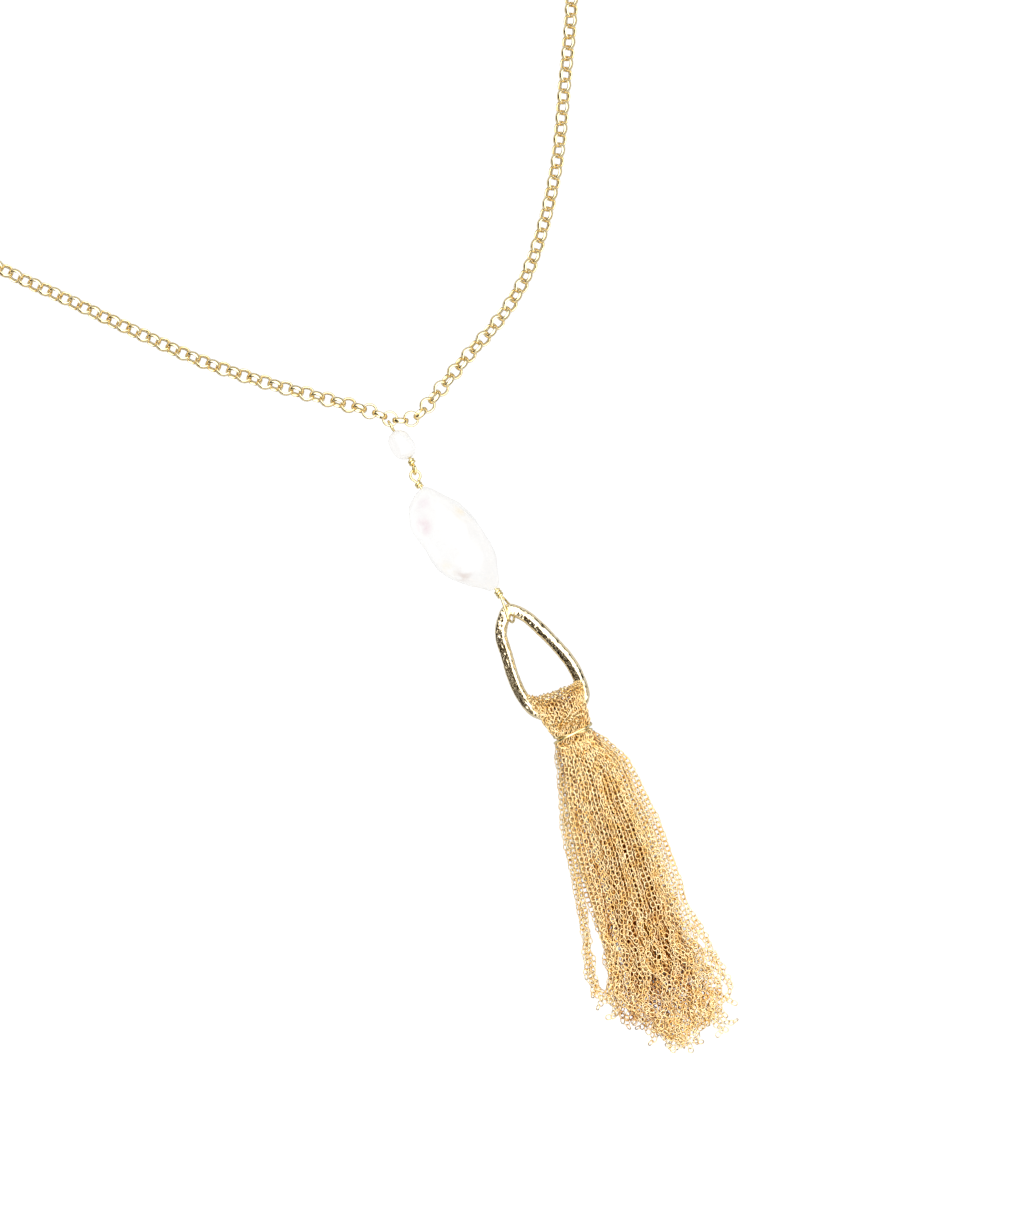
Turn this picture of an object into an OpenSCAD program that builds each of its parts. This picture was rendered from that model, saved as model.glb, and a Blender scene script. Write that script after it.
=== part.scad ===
// Long tassel necklace: belcher chain, two drilled pearls, a hammered ring and a tassel of fine chains.
// It lies on the plane z = 0, with the neck loop towards +Y and the pendant towards -Y.

/* [Chain] */
// Outer diameter of one belcher link
link_od = 3.25; // [2.7:0.05:4]
// Thickness of a link's band
link_t = 0.38; // [0.25:0.01:0.45]
// Width of a link's band
link_w = 0.88; // [0.6:0.02:1]
// Clearance between two bands that pass through each other
link_clear = 0.15; // [0.14:0.01:0.25]
// Length of the loose links from the pendant towards the right shoulder
links_right = 95; // [40:1:200]
// Length of the loose links from the pendant towards the left shoulder
links_left = 84; // [40:1:200]

/* [Clasp] */
// Outer diameter of the spring ring clasp
clasp_od = 10; // [7:0.5:14]
// Thickness of the clasp's tube
clasp_t = 1.9; // [1.2:0.1:2.4]
// Outer diameter of the clasp's eye
clasp_eye_od = 4.2; // [3:0.1:6]
// Thickness of the eye's wire
clasp_eye_t = 0.9; // [0.6:0.1:1.2]
// Diameter of the thumb knob
clasp_knob_d = 1.7; // [1:0.1:2.5]
// Gap between the clasp and the ends of the chain
end_gap = 0.3; // [0.2:0.1:1]

/* [Pearls] */
// Length of the small pearl along its drill hole
small_l = 6.2; // [4:0.1:9]
// Width of the small pearl
small_w = 4.8; // [3:0.1:6]
// Length of the baroque pearl along its drill hole
baroque_l = 24.7; // [15:0.1:32]
// Width of the baroque pearl
baroque_w = 12.5; // [8:0.1:16]
// Thickness of the baroque pearl
baroque_h = 11; // [8:0.1:14]
// Clearance of the wire in a drill hole
drill_clear = 0.15; // [0.1:0.05:0.3]

/* [Pearl wire] */
// Diameter of the wire
wire_d = 0.5; // [0.4:0.05:0.6]
// Outer diameter of the eye that hooks the chain
hook_eye_od = 2.5; // [2.4:0.1:3]
// Outer diameter of the small pearl's lower eye
inner_eye_od = 2.2; // [2.1:0.1:2.6]
// Outer diameter of the baroque pearl's upper eye
outer_eye_od = 2.6; // [2.5:0.1:3.4]
// Clearance between two eyes
eye_clear = 0.25; // [0.2:0.01:0.3]
// Clearance between the long loop and the ring's bar
loop_clear = 0.35; // [0.3:0.05:0.6]
// Turns of the small pearl's coil
coil_a_turns = 2; // [1:1:4]
// Turns of the baroque pearl's upper coil
coil_b_turns = 2; // [1:1:4]
// Turns of the baroque pearl's lower coil
coil_c_turns = 3; // [1:1:5]
// Length from the lower coil to the middle of the ring's bar
loop_reach = 3.8; // [3.4:0.1:6]

/* [Hammered ring] */
// Length of the ring outside
ring_l = 26.5; // [20:0.5:40]
// Width of the ring outside
ring_w = 14.3; // [12:0.1:20]
// Thickness of the ring's bar
bar_d = 2.5; // [1.8:0.1:3]

/* [Tassel] */
// Thickness of the strands where they fold over the bar
fold_t = 2.4; // [1.5:0.1:3.5]
// Room between the strands and the bar
fold_clear = 0.55; // [0.5:0.05:0.7]
// Width of the tassel's head where it covers the bar
head_w = 10.6; // [8:0.1:13]
// Width of the tied waist
waist_w = 6.4; // [5:0.1:9]
// Height of the tied waist
waist_h = 6.6; // [5:0.1:8]
// Distance from the ring's bar to the waist
neck_l = 3.9; // [3.6:0.1:6]
// Length from the waist to the lowest strand end
drop_l = 68; // [40:0.5:100]
// Width of the skirt at its widest
skirt_w = 30; // [20:0.5:45]
// Height of the skirt a third of the way down
skirt_h = 5.6; // [4:0.1:7]
// Diameter of the tie wire
tie_d = 0.55; // [0.4:0.05:0.8]
// Room between the tie wire and the strands
tie_clear = 0.25; // [0.2:0.05:0.5]

/* [Hidden] */
// Route of the chain from the pendant round the right side to the clasp
right_route = [[0, 0], [2.6, -1.6], [5.7, -1.7], [9.5, 0], [18.8, 4.5], [28.2, 8.7], [35.8, 13.6],
    [42.2, 19.8], [47.8, 26.6], [53, 34], [60, 46], [68, 60], [78, 81], [87, 105], [93, 132], [96, 162],
    [95, 193], [88, 222], [75, 248], [57, 270], [34, 284.5], [8, 291]];
// Route of the chain from the pendant round the left side, up to the clasp's eye
left_route = [[0, 0], [-3.4, 3.4], [-10.2, 9.2], [-20.2, 17.7], [-29.5, 26.6], [-38.5, 37], [-48, 48.4],
    [-58, 60.4], [-72, 80], [-84, 104], [-91, 132], [-94, 162], [-93, 193], [-87, 222], [-75, 248],
    [-57, 270], [-34, 284.5]];
// Half outline of a link's band: share of its thickness, share of its width
band_outline = [[0, 0.5], [0.5, 0.5], [1, 0.22]];
// Steps of a smooth curve between two points of a route
route_steps = 8;
// Distance between two rings of the plain chain tube, in link diameters
tube_step = 2.9;
tube_sides = 8;
link_r = link_od / 2;
link_in = link_r - link_t;
pitch = sqrt(pow(link_in - link_clear, 2) - pow(link_w / 2, 2)) + sqrt(pow(link_in, 2) - pow(link_w / 2, 2));
// Turn of the chain about its own line: share of the loose stretch, degrees
left_twist = [[0, 0], [0.1, 22], [0.3, 32], [0.7, 42], [1, 45]];
right_twist = [[0, 0], [0.1, 22], [0.25, 36], [0.6, 44], [1, 45]];
// Direction of each piece of the pendant, in degrees from -Y towards +X
small_plan = 5;
eyes_plan = -16;
baroque_plan = 11.4;
loop_plan = 2.5;
ring_plan = 4.8;
head_plan = -11;
tassel_plan = -3.9;
// Upward slope of the two eyes between the pearls, and of the baroque pearl's drill hole
eyes_slope = 8;
baroque_slope = -1;
// Where the pendant's eye hangs on the middle link, in degrees from +X
hook_at = -106;
// Turn of each eye about the pendant's line
hook_roll = 94;
inner_roll = 72;
outer_roll = 20;
loop_roll = 112;
// The ring's bar lies this far short of the loop's middle
bar_lag = 0.6;
// Small gap between a pearl and the wire's coil or eye
bead_gap = 0.15;
// Gap under the baroque pearl, and under the long loop in wire diameters
rest_gap = 0.04;
loop_float = 0.26;
// Points in one turn of a coil, and the gap between its turns
coil_step = 12;
coil_gap = 0.04;
wire_sides = 6;
// Steps round the hook and inner eyes, the outer eye and the long loop
eye_steps = [12, 14, 18];
// Sides and steps between sections of the small and the baroque pearl
small_detail = [14, 1];
baroque_detail = [24, 2];
// Swellings of each pearl's upper side, as shares of its radius, with their count and turn along it
small_lump = 0.02;
baroque_lump = 0.05;
lump_count = 3;
lump_turn = 500;
// The bore's end rings lie this far inside the pearl's ends
bore_inset = 0.02;
// Baroque pearl: share of its length, then shares of its width to the left and right of the
// drill hole and shares of its thickness above and below it
baroque_sections = [
    [0, 0.1, 0.07, 0.12, 0.1], [0.05, 0.3, 0.14, 0.26, 0.2], [0.12, 0.43, 0.2, 0.38, 0.29],
    [0.21, 0.515, 0.26, 0.49, 0.345], [0.32, 0.545, 0.36, 0.57, 0.375], [0.45, 0.555, 0.43, 0.61, 0.385],
    [0.58, 0.56, 0.41, 0.59, 0.38], [0.7, 0.525, 0.35, 0.54, 0.36], [0.8, 0.43, 0.3, 0.46, 0.32],
    [0.89, 0.27, 0.23, 0.34, 0.26], [0.96, 0.15, 0.15, 0.2, 0.18], [1, 0.08, 0.08, 0.1, 0.1]];
// Small pearl: the same shares
small_sections = [
    [0, 0.13, 0.12, 0.13, 0.13], [0.07, 0.31, 0.27, 0.29, 0.29], [0.2, 0.44, 0.41, 0.43, 0.42],
    [0.4, 0.5, 0.47, 0.49, 0.48], [0.6, 0.51, 0.49, 0.5, 0.48], [0.8, 0.43, 0.44, 0.43, 0.42],
    [0.93, 0.28, 0.31, 0.29, 0.29], [1, 0.12, 0.14, 0.13, 0.13]];
// Hammer marks: depth of the bar's beats and dents as shares of its radius, and their turns
beat_depth = 0.05;
dent_depth = 0.035;
beat_turn = 137;
dent_turns = [97, 151];
ring_sides = 10;
ring_steps = 3;
// Middle line of the ring's bar: share of its length, share of its width to the right
ring_bends = [
    [0, 0], [0.1, 0.183], [0.275, 0.314], [0.486, 0.423], [0.688, 0.474], [0.863, 0.431], [0.954, 0.335],
    [1, 0.123], [0.99, -0.114], [0.932, -0.308], [0.817, -0.475], [0.656, -0.52], [0.49, -0.487],
    [0.318, -0.403], [0.174, -0.336], [0.075, -0.217]];
// Lower bar of the ring: share of the width, share of the length
lower_bar = [for (i = [len(ring_bends) - 1:-1:0])
    if (ring_bends[i][0] > 0.8) [ring_bends[i][1], ring_bends[i][0]]];
// Places of the folds across the head and the waist
fold_places = [-0.4, -0.24, -0.08, 0.08, 0.23, 0.38];
// Locks that lie on the table: place across the waist, then across the skirt at the shoulder, low
// down and at the tip, and the length as a share of the drop
lower_locks = [
    [-0.42, -0.29, -0.42, -0.55, 0.73], [-0.35, -0.24, -0.345, -0.45, 0.79],
    [-0.27, -0.19, -0.27, -0.34, 0.86], [-0.19, -0.135, -0.2, -0.24, 0.91],
    [-0.11, -0.08, -0.125, -0.15, 0.955], [-0.03, -0.025, -0.05, -0.06, 1],
    [0.05, 0.035, 0.025, 0.05, 0.965], [0.13, 0.095, 0.1, 0.17, 0.99],
    [0.21, 0.155, 0.17, 0.3, 0.985], [0.28, 0.21, 0.235, 0.44, 0.93],
    [0.35, 0.26, 0.29, 0.39, 0.84], [0.42, 0.3, 0.31, 0.41, 0.76]];
// Locks that lie on top of them
upper_locks = [
    [-0.3, -0.2, -0.26, -0.3, 0.8], [-0.18, -0.115, -0.15, -0.17, 0.92], [-0.06, -0.035, -0.05, -0.03, 0.95],
    [0.06, 0.04, 0.045, 0.09, 0.97], [0.18, 0.12, 0.135, 0.22, 0.93], [0.3, 0.2, 0.23, 0.33, 0.82]];
// Where the locks reach the shoulder and the low sections, as shares of the drop
shoulder_at = 0.28;
low_at = 0.62;
// Half widths of a lock at the waist, the shoulder, low down and the tip, as shares of the skirt's width
lock_widths = [0.022, 0.047, 0.054, 0.03];
// Half heights of a lock at the shoulder, low down and the tip, as shares of the skirt's height
lock_heights = [0.26, 0.21, 0.12];
// Height of the upper locks' middle, in their own half heights
upper_level = 2.65;
// A lock's first two sections inside the knot: distance from the waist in half knots, then height
// and half height as shares of the waist's half height there
lock_roots = [[0, 0.45, 0.4], [1.5, 0.48, 0.54]];
// Section between the waist and the shoulder: its share of that way, how far it has spread, and its puff
lock_bend = [0.45, 0.6, 1.05];
// Section between the low one and the tip: its share of that way and of the taper
lock_taper = [0.55, 0.4];
// Most of its own length at which a short lock has its low section
lock_low_most = 0.8;
// Rounded tip: its reach in half widths, and its two ball sizes in half heights
tip_reach = 0.7;
tip_balls = [0.95, 0.7];
lock_sides = 7;
lock_steps = 2;
// The sections of the locks on the right lie farther along than those on the left, so that no two
// locks have sections in one plane
row_slant = 3;
// Power of the rounded rectangle that is the waist's outline
waist_power = 2.6;
// Half length of the solid knot at the waist, and the step round it
join_l = 1.3;
join_step = 12;
// A fold wraps the bar this far each way, in these steps, and stands off more at its middle
fold_arc = 120;
fold_arc_step = 30;
fold_puff = 0.2;
// Half widths of a fold at the waist and over the bar, as shares of the waist's and the head's width
fold_half_widths = [0.09, 0.115];
// Height and half height of a fold's ends inside the knot and at its edge, as shares of the waist there
fold_roots = [[0.4, 0.45], [0.5, 0.45]];
// Tie wire: points in its two turns, gap where they cross, and their distance in wire diameters
tie_steps = 56;
tie_cross_gap = 0.06;
tie_spread = 1.5;

function unit(v) = v / norm(v);
function mix(a, b, t) = a + (b - a) * t;

// Point at share t between b and c, on a smooth curve through a, b, c and d
function curve_point(a, b, c, d, t) =
    b + (c - a) * (t / 2) + (a * 2 - b * 5 + c * 4 - d) * (t * t / 2)
    + (b * 3 - a - c * 3 + d) * (t * t * t / 2);
function smooth_open(p, steps) = concat(
    [for (i = [0:len(p) - 2], k = [0:steps - 1])
        curve_point(p[max(i - 1, 0)], p[i], p[i + 1], p[min(i + 2, len(p) - 1)], k / steps)],
    [p[len(p) - 1]]);
function smooth_closed(p, steps) =
    let (n = len(p))
    [for (i = [0:n - 1], k = [0:steps - 1])
        curve_point(p[(i + n - 1) % n], p[i], p[(i + 1) % n], p[(i + 2) % n], k / steps)];

// Length along a path up to each of its points
function run_lengths(path) =
    [for (i = 0, s = 0; i < len(path); i = i + 1, s = s + (i < len(path) ? norm(path[i] - path[i - 1]) : 0))
        s];
// A point at a length along a path comes from these tables, one for each axis
function run_tables(path) =
    let (runs = run_lengths(path))
    [for (axis = [0:1]) [for (i = [0:len(path) - 1]) [runs[i], path[i][axis]]]];
function run_end(path) = let (runs = run_lengths(path)) runs[len(runs) - 1];
function point_at(tables, s) = [lookup(s, tables[0]), lookup(s, tables[1])];
function heading_at(tables, s) =
    let (d = point_at(tables, s + pitch / 2) - point_at(tables, max(s - pitch / 2, 0))) atan2(d[1], d[0]);

// Sideways, upward and lengthwise unit vectors of a piece of the pendant
function frame(plan, slope) =
    let (side = [cos(plan), sin(plan), 0],
        axis = [sin(plan) * cos(slope), -cos(plan) * cos(slope), sin(slope)])
    [side, cross(axis, side), axis];
function place(o, f, q) = o + f[0] * q[0] + f[1] * q[1] + f[2] * q[2];

// Unit vectors across a path, carried along it without twist
function tangents(path) =
    [for (i = [0:len(path) - 1]) unit(path[min(i + 1, len(path) - 1)] - path[max(i - 1, 0)])];
function flatten(v, t) = unit(v - t * (v * t));
function carried(t, first) =
    [for (i = 0, u = flatten(first, t[0]); i < len(t); i = i + 1, u = i < len(t) ? flatten(u, t[i]) : u) u];
function round_rings(path, r, sides, first) =
    let (t = tangents(path), u = carried(t, first))
    [for (i = [0:len(path) - 1]) [for (k = [0:sides - 1])
        path[i] + (u[i] * cos(360 * k / sides) + cross(t[i], u[i]) * sin(360 * k / sides)) * r]];

// Closed surface through rings of points, capped at its ends or joined end to end
module skin(rings, looped = false) {
    n = len(rings[0]);
    m = len(rings);
    sides = [for (i = [0:m - (looped ? 1 : 2)], k = [0:n - 1])
        let (a = i * n, b = ((i + 1) % m) * n, j = (k + 1) % n)
        each [[a + k, b + k, a + j], [b + k, b + j, a + j]]];
    caps = looped ? [] : [for (k = [1:n - 2]) each
        [[0, k, k + 1], [(m - 1) * n, (m - 1) * n + k + 1, (m - 1) * n + k]]];
    polyhedron([for (ring = rings) each ring], concat(sides, caps));
}

// Heights that follow from what lies on the table
chain_z = norm([link_r, band_outline[len(band_outline) - 1][1] * link_w]);
bar_fold = bar_d / 2 + fold_clear;
// The folds beside the ring's middle lie a little lower than the middle one
fold_rise = 0.25;
lower_bar_z = bar_fold + fold_t + fold_rise;
// Height of the middle of the baroque pearl's drill hole when its lower side touches the table
baroque_mid_z = rest_gap + max([for (row = baroque_sections)
    row[4] * baroque_h + (0.5 - row[0]) * baroque_l * sin(baroque_slope)]);

// Small pearl and its wire
hook = [0, 0, chain_z];
hook_eye_r = (hook_eye_od - wire_d) / 2;
inner_eye_r = (inner_eye_od - wire_d) / 2;
outer_eye_r = (outer_eye_od - wire_d) / 2;
eye_stem = 1.12;
coil_pitch = wire_d + coil_gap;
coil_r = wire_d + coil_gap;
coil_start = 0.62 * wire_d;
function coil_l(turns) = coil_start + turns * coil_pitch + wire_d / 2;
baroque_frame = frame(baroque_plan, baroque_slope);
hook_eye = hook + [cos(hook_at), sin(hook_at), 0] * (link_r - link_t / 2);
small_from = hook_eye_r * eye_stem + wire_d / 2 + bead_gap;
inner_neck_from = small_from + small_l + bead_gap + coil_l(coil_a_turns);
eyes_apart = inner_eye_r + outer_eye_r - wire_d - eye_clear;
eyes_run = (inner_eye_r + outer_eye_r) * eye_stem + eyes_apart;
baroque_from = coil_l(coil_b_turns) + bead_gap;
outer_neck_z = baroque_mid_z - (baroque_from + baroque_l / 2) * sin(baroque_slope);
small_slope = asin((outer_neck_z - chain_z - eyes_run * sin(eyes_slope)) / inner_neck_from);
small_frame = frame(small_plan, small_slope);
eyes_frame = frame(eyes_plan, eyes_slope);
small_top = hook_eye + small_frame[2] * small_from;
inner_neck = hook_eye + small_frame[2] * inner_neck_from;
outer_neck = inner_neck + eyes_frame[2] * eyes_run;

// Baroque pearl and its wire
baroque_top = outer_neck + baroque_frame[2] * baroque_from;
loop_neck = baroque_top + baroque_frame[2] * (baroque_l + bead_gap + coil_l(coil_c_turns));
loop_r = (bar_d / 2 + loop_clear + wire_d / 2) / sin(loop_roll);
// The loop's lower side just clears the table below the ring's bar
upper_bar_z = loop_r + loop_float * wire_d;
loop_slope = asin((upper_bar_z - loop_neck[2]) / loop_reach);
loop_frame = frame(loop_plan, loop_slope);
upper_bar = loop_neck + loop_frame[2] * (loop_reach - bar_lag);

// Ring
bar_run = ring_l - bar_d;
bar_span = ring_w - bar_d;
ring_frame = frame(ring_plan, asin((lower_bar_z - upper_bar_z) / bar_run));
function bar_point(across, along) = place(upper_bar, ring_frame, [across * bar_span, 0, along * bar_run]);
lower_bar_mid = bar_point(0, 1);

// Tassel
tassel_frame = frame(tassel_plan, 0);
waist = [lower_bar_mid[0], lower_bar_mid[1], waist_h / 2 + tie_clear + tie_d] + frame(head_plan, 0)[2] * neck_l;
// Half height of the waist at a share of its width, and its radius at an angle with some room round it
function waist_edge(share) = waist_h / 2 * pow(1 - pow(abs(2 * share), waist_power), 1 / waist_power);
function waist_r(a, room) =
    pow(pow(abs(cos(a)) / (waist_w / 2 + room), waist_power)
        + pow(abs(sin(a)) / (waist_h / 2 + room), waist_power), -1 / waist_power);

// Length of the lock that reaches lowest, which sets the origin
lowest_y = waist[1] - drop_l * cos(tassel_plan);
right_path = smooth_open(right_route, route_steps);
clasp_at = right_route[len(right_route) - 1] - [end_gap + clasp_od / 2, 0];
clasp_eye_at = clasp_at - [(clasp_od - clasp_t + clasp_eye_od - clasp_eye_t) / 2, 0];
left_path = smooth_open(concat(left_route, [clasp_eye_at - [clasp_eye_od / 2 + end_gap, 0]]), route_steps);
right_tables = run_tables(right_path);
left_tables = run_tables(left_path);

// Bounds of the whole necklace in plan, whose middle becomes the origin
all_x = [for (p = concat(right_path, left_path)) p[0]];
all_y = [for (p = concat(right_path, left_path, [clasp_at + [0, clasp_od / 2 - link_r]])) p[1]];
middle = [(min(all_x) + max(all_x)) / 2, (lowest_y + max(all_y) + link_r) / 2, 0];

module laid() {
    translate(-middle) children();
}

// One belcher link, lying flat round the origin
module link() {
    profile = [for (row = band_outline) [link_in + row[0] * link_t, row[1] * link_w]];
    mirrored = [for (i = [len(profile) - 1:-1:0]) [profile[i][0], -profile[i][1]]];
    rotate_extrude() polygon(concat(profile, mirrored));
}

// A stretch of links, which stand and lie by turns
module links(tables, twist, from, to, loose_l) {
    for (i = [from:to]) {
        s = i * pitch;
        p = point_at(tables, s);
        translate([p[0], p[1], chain_z])
            rotate([0, 0, heading_at(tables, s)])
            rotate([lookup(s / loose_l, twist) + (i % 2) * 90, 0, 0]) link();
    }
}

module chain_front() {
    color("gold") laid() {
        links(right_tables, right_twist, 0, floor(links_right / pitch), links_right);
        links(left_tables, left_twist, 1, floor(links_left / pitch), links_left);
    }
}

// Plain tube that stands for the links between a length along a route and its end
module chain_tube(tables, from, to) {
    count = ceil((to - from) / (tube_step * link_od));
    path = [for (i = [0:count]) let (p = point_at(tables, mix(from, to, i / count))) [p[0], p[1], chain_z]];
    skin(round_rings(path, link_r, tube_sides, [0, 0, 1]));
}

module chain_back() {
    right_from = floor(links_right / pitch) * pitch + link_r + end_gap;
    left_from = floor(links_left / pitch) * pitch + link_r + end_gap;
    color("gold") laid() {
        chain_tube(right_tables, right_from, run_end(right_path));
        chain_tube(left_tables, left_from, run_end(left_path));
    }
}

module torus(od, t) {
    rotate_extrude() translate([(od - t) / 2, 0]) circle(d = t, $fn = 24);
}

// Spring ring clasp, drawn as one plain piece with its eye and thumb knob
module clasp() {
    color("gold") laid() translate([clasp_at[0], clasp_at[1], clasp_t / 2]) {
        torus(clasp_od, clasp_t);
        translate([clasp_eye_at[0] - clasp_at[0], 0, 0]) torus(clasp_eye_od, clasp_eye_t);
        rotate([0, 0, 50]) translate([clasp_od / 2 - clasp_t * 0.3, 0, 0]) sphere(d = clasp_knob_d, $fn = 24);
    }
}

// Rings of a pearl round its drill hole: the skin from end to end, then back through the hole
function pearl_rings(top, f, size, sections, detail, lump_share) =
    let (rows = smooth_open(sections, detail[1]),
        sides = detail[0],
        hole = wire_d / 2 + drill_clear,
        bore = function (along) [for (k = [0:sides - 1]) let (a = 360 * k / sides)
            place(top, f, [hole * cos(a), hole * sin(a), along])])
    concat(
        [for (row = rows) [for (k = [0:sides - 1])
            let (a = 360 * k / sides,
                x = cos(a) * (cos(a) > 0 ? row[2] : row[1]) * size[0],
                z = sin(a) * (sin(a) > 0 ? row[3] : row[4]) * size[1],
                high = min(1, max(0, sin(a) + 0.6)),
                swell = high * sin(a * lump_count + row[0] * lump_turn) * sin(row[0] * 180),
                lump = 1 + lump_share * swell)
            place(top, f, [x * lump, z * lump, row[0] * size[2]])]],
        [bore(size[2] - bore_inset), bore(bore_inset)]);

module small_pearl() {
    color("ivory") laid()
        skin(pearl_rings(small_top, small_frame, [small_w, small_w, small_l],
            small_sections, small_detail, small_lump), true);
}

module baroque_pearl() {
    color("ivory") laid()
        skin(pearl_rings(baroque_top, baroque_frame, [baroque_w, baroque_h, baroque_l],
            baroque_sections, baroque_detail, baroque_lump), true);
}

// Wire from a neck round an eye and back: two straight legs and an arc
function eye_path(neck, f, roll, r, reach, steps) =
    let (w = f[0] * cos(roll) + f[1] * sin(roll), lead = acos(r / reach), mid = neck + f[2] * reach)
    [for (k = [0:steps]) let (a = mix(lead - 90, 270 - lead, k / steps))
        mid + (w * cos(a) + f[2] * sin(a)) * r];

// Wire wound round the stem below a neck, back towards the pearl
function coil_path(neck, f, roll, turns) =
    let (w = f[0] * cos(roll) + f[1] * sin(roll), v = cross(w, f[2]))
    [for (k = [0:coil_step * turns]) let (a = 180 + 360 * k / coil_step)
        neck + (w * cos(a) + v * sin(a)) * coil_r - f[2] * (coil_start + coil_pitch * k / coil_step)];

function reversed(list) = [for (i = [len(list) - 1:-1:0]) list[i]];
function turned(f) = [-f[0], f[1], -f[2]];

module wire(path) {
    skin(round_rings(path, wire_d / 2, wire_sides, [0.3, 0.2, 1]));
}

module small_pearl_wire() {
    up = turned(small_frame);
    hook_neck = small_top + up[2] * (bead_gap + wire_d / 2);
    color("gold") laid() wire(concat(
        reversed(eye_path(hook_neck, up, hook_roll, hook_eye_r, hook_eye_r * eye_stem, eye_steps[0])),
        [hook_neck + small_frame[2] * wire_d, inner_neck - small_frame[2] * wire_d],
        eye_path(inner_neck, eyes_frame, inner_roll, inner_eye_r, inner_eye_r * eye_stem, eye_steps[0]),
        coil_path(inner_neck, small_frame, inner_roll, coil_a_turns)));
}

module baroque_pearl_wire() {
    up = turned(baroque_frame);
    color("gold") laid() wire(concat(
        reversed(concat(
            eye_path(outer_neck, turned(eyes_frame), outer_roll, outer_eye_r, outer_eye_r * eye_stem,
                eye_steps[1]),
            coil_path(outer_neck, up, outer_roll, coil_b_turns))),
        [outer_neck + baroque_frame[2] * wire_d, loop_neck - baroque_frame[2] * wire_d],
        eye_path(loop_neck, loop_frame, loop_roll, loop_r, loop_reach, eye_steps[2]),
        coil_path(loop_neck, baroque_frame, loop_roll, coil_c_turns)));
}

// Closed bar of hammered facets along the ring's middle line
module hammered_ring() {
    middle_line = smooth_closed([for (row = ring_bends) bar_point(row[1], row[0])], ring_steps);
    n = len(middle_line);
    rings = [for (i = [0:n - 1])
        let (t = unit(middle_line[(i + 1) % n] - middle_line[(i + n - 1) % n]),
            across = unit(cross(t, ring_frame[1])),
            beat = 1 - beat_depth * (1 + sin(i * beat_turn)))
        [for (k = [0:ring_sides - 1])
            let (a = 360 * k / ring_sides,
                dent = beat - dent_depth * (1 + sin(i * dent_turns[0] + k * dent_turns[1])))
            middle_line[i] + (across * cos(a) - ring_frame[1] * sin(a)) * (bar_d / 2 * dent)]];
    color("gold") laid() skin(rings, true);
}

// Two turns round the waist that cross on top, as one closed loop
module tie_wire() {
    stand_off = tie_clear + tie_d / 2;
    path = [for (i = [0:tie_steps - 1])
        let (a = 720 * i / tie_steps,
            r = waist_r(a - 90, stand_off),
            lift = a > 360 ? (tie_d + tie_cross_gap) * (1 - cos(a)) / 2 : 0)
        place(waist, tassel_frame,
            [sin(a) * (r + lift), -cos(a) * (r + lift), cos(a / 2) * tie_d * tie_spread])];
    n = len(path);
    rings = [for (i = [0:n - 1])
        let (t = unit(path[(i + 1) % n] - path[(i + n - 1) % n]),
            u = flatten(tassel_frame[2], t))
        [for (k = [0:wire_sides - 1]) let (a = 360 * k / wire_sides)
            path[i] + (u * cos(a) + cross(t, u) * sin(a)) * (tie_d / 2)]];
    color("gold") laid() skin(rings, true);
}

// Rings of a flat strip whose rows hold: across, along, height, half width, half height
function strip_rings(rows) = [for (row = rows) [for (k = [0:lock_sides - 1])
    let (a = 360 * k / lock_sides + 180 / lock_sides)
    place([waist[0], waist[1], 0], tassel_frame,
        [row[0] + row[3] * cos(a), max(row[2], row[4]) + row[4] * sin(a), row[1]])]];

// One lock of strands; layer 0 lies on the table and layer 1 on top of it
function lock_rows(lock, layer) =
    let (edge = waist_edge(lock[0]) * (layer == 0 ? -1 : 1), w = lock_widths * skirt_w,
        h = lock_heights * skirt_h, across = lock[0] * waist_w, length = lock[4] * drop_l,
        slant = lock[0] * row_slant, shoulder = shoulder_at * drop_l + slant,
        low = min(low_at, lock[4] * lock_low_most) * drop_l + slant, spread = lock_bend[1],
        level = function (half) half * (layer == 0 ? 1 : upper_level),
        taper_h = mix(h[1], h[2], lock_taper[1]))
    concat([for (root = lock_roots)
        [across, root[0] * (join_l + slant / 4), waist[2] + edge * root[1], w[0], abs(edge) * root[2]]],
        [[mix(across, lock[1] * skirt_w, spread), shoulder * lock_bend[0],
            mix(waist[2] + edge / 2, level(h[0]), spread), mix(w[0], w[1], spread), h[0] * lock_bend[2]],
        [lock[1] * skirt_w, shoulder, level(h[0]), w[1], h[0]],
        [lock[2] * skirt_w, low, level(h[1]), w[2], h[1]],
        [mix(lock[2], lock[3], lock_taper[0]) * skirt_w, mix(low, length, lock_taper[0]), level(taper_h),
            mix(w[2], w[3], lock_taper[1]), taper_h],
        [lock[3] * skirt_w, length - w[3], level(h[2]), w[3], h[2]]]);

module lock(lock, layer) {
    rows = smooth_open(lock_rows(lock, layer), lock_steps);
    last = rows[len(rows) - 1];
    skin(strip_rings(rows));
    hull() {
        for (end = [0, 1])
            translate(place([waist[0], waist[1], 0], tassel_frame,
                [last[0], last[2], last[1] + end * last[3] * tip_reach]))
                sphere(last[4] * tip_balls[end], $fn = 8);
    }
}

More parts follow.
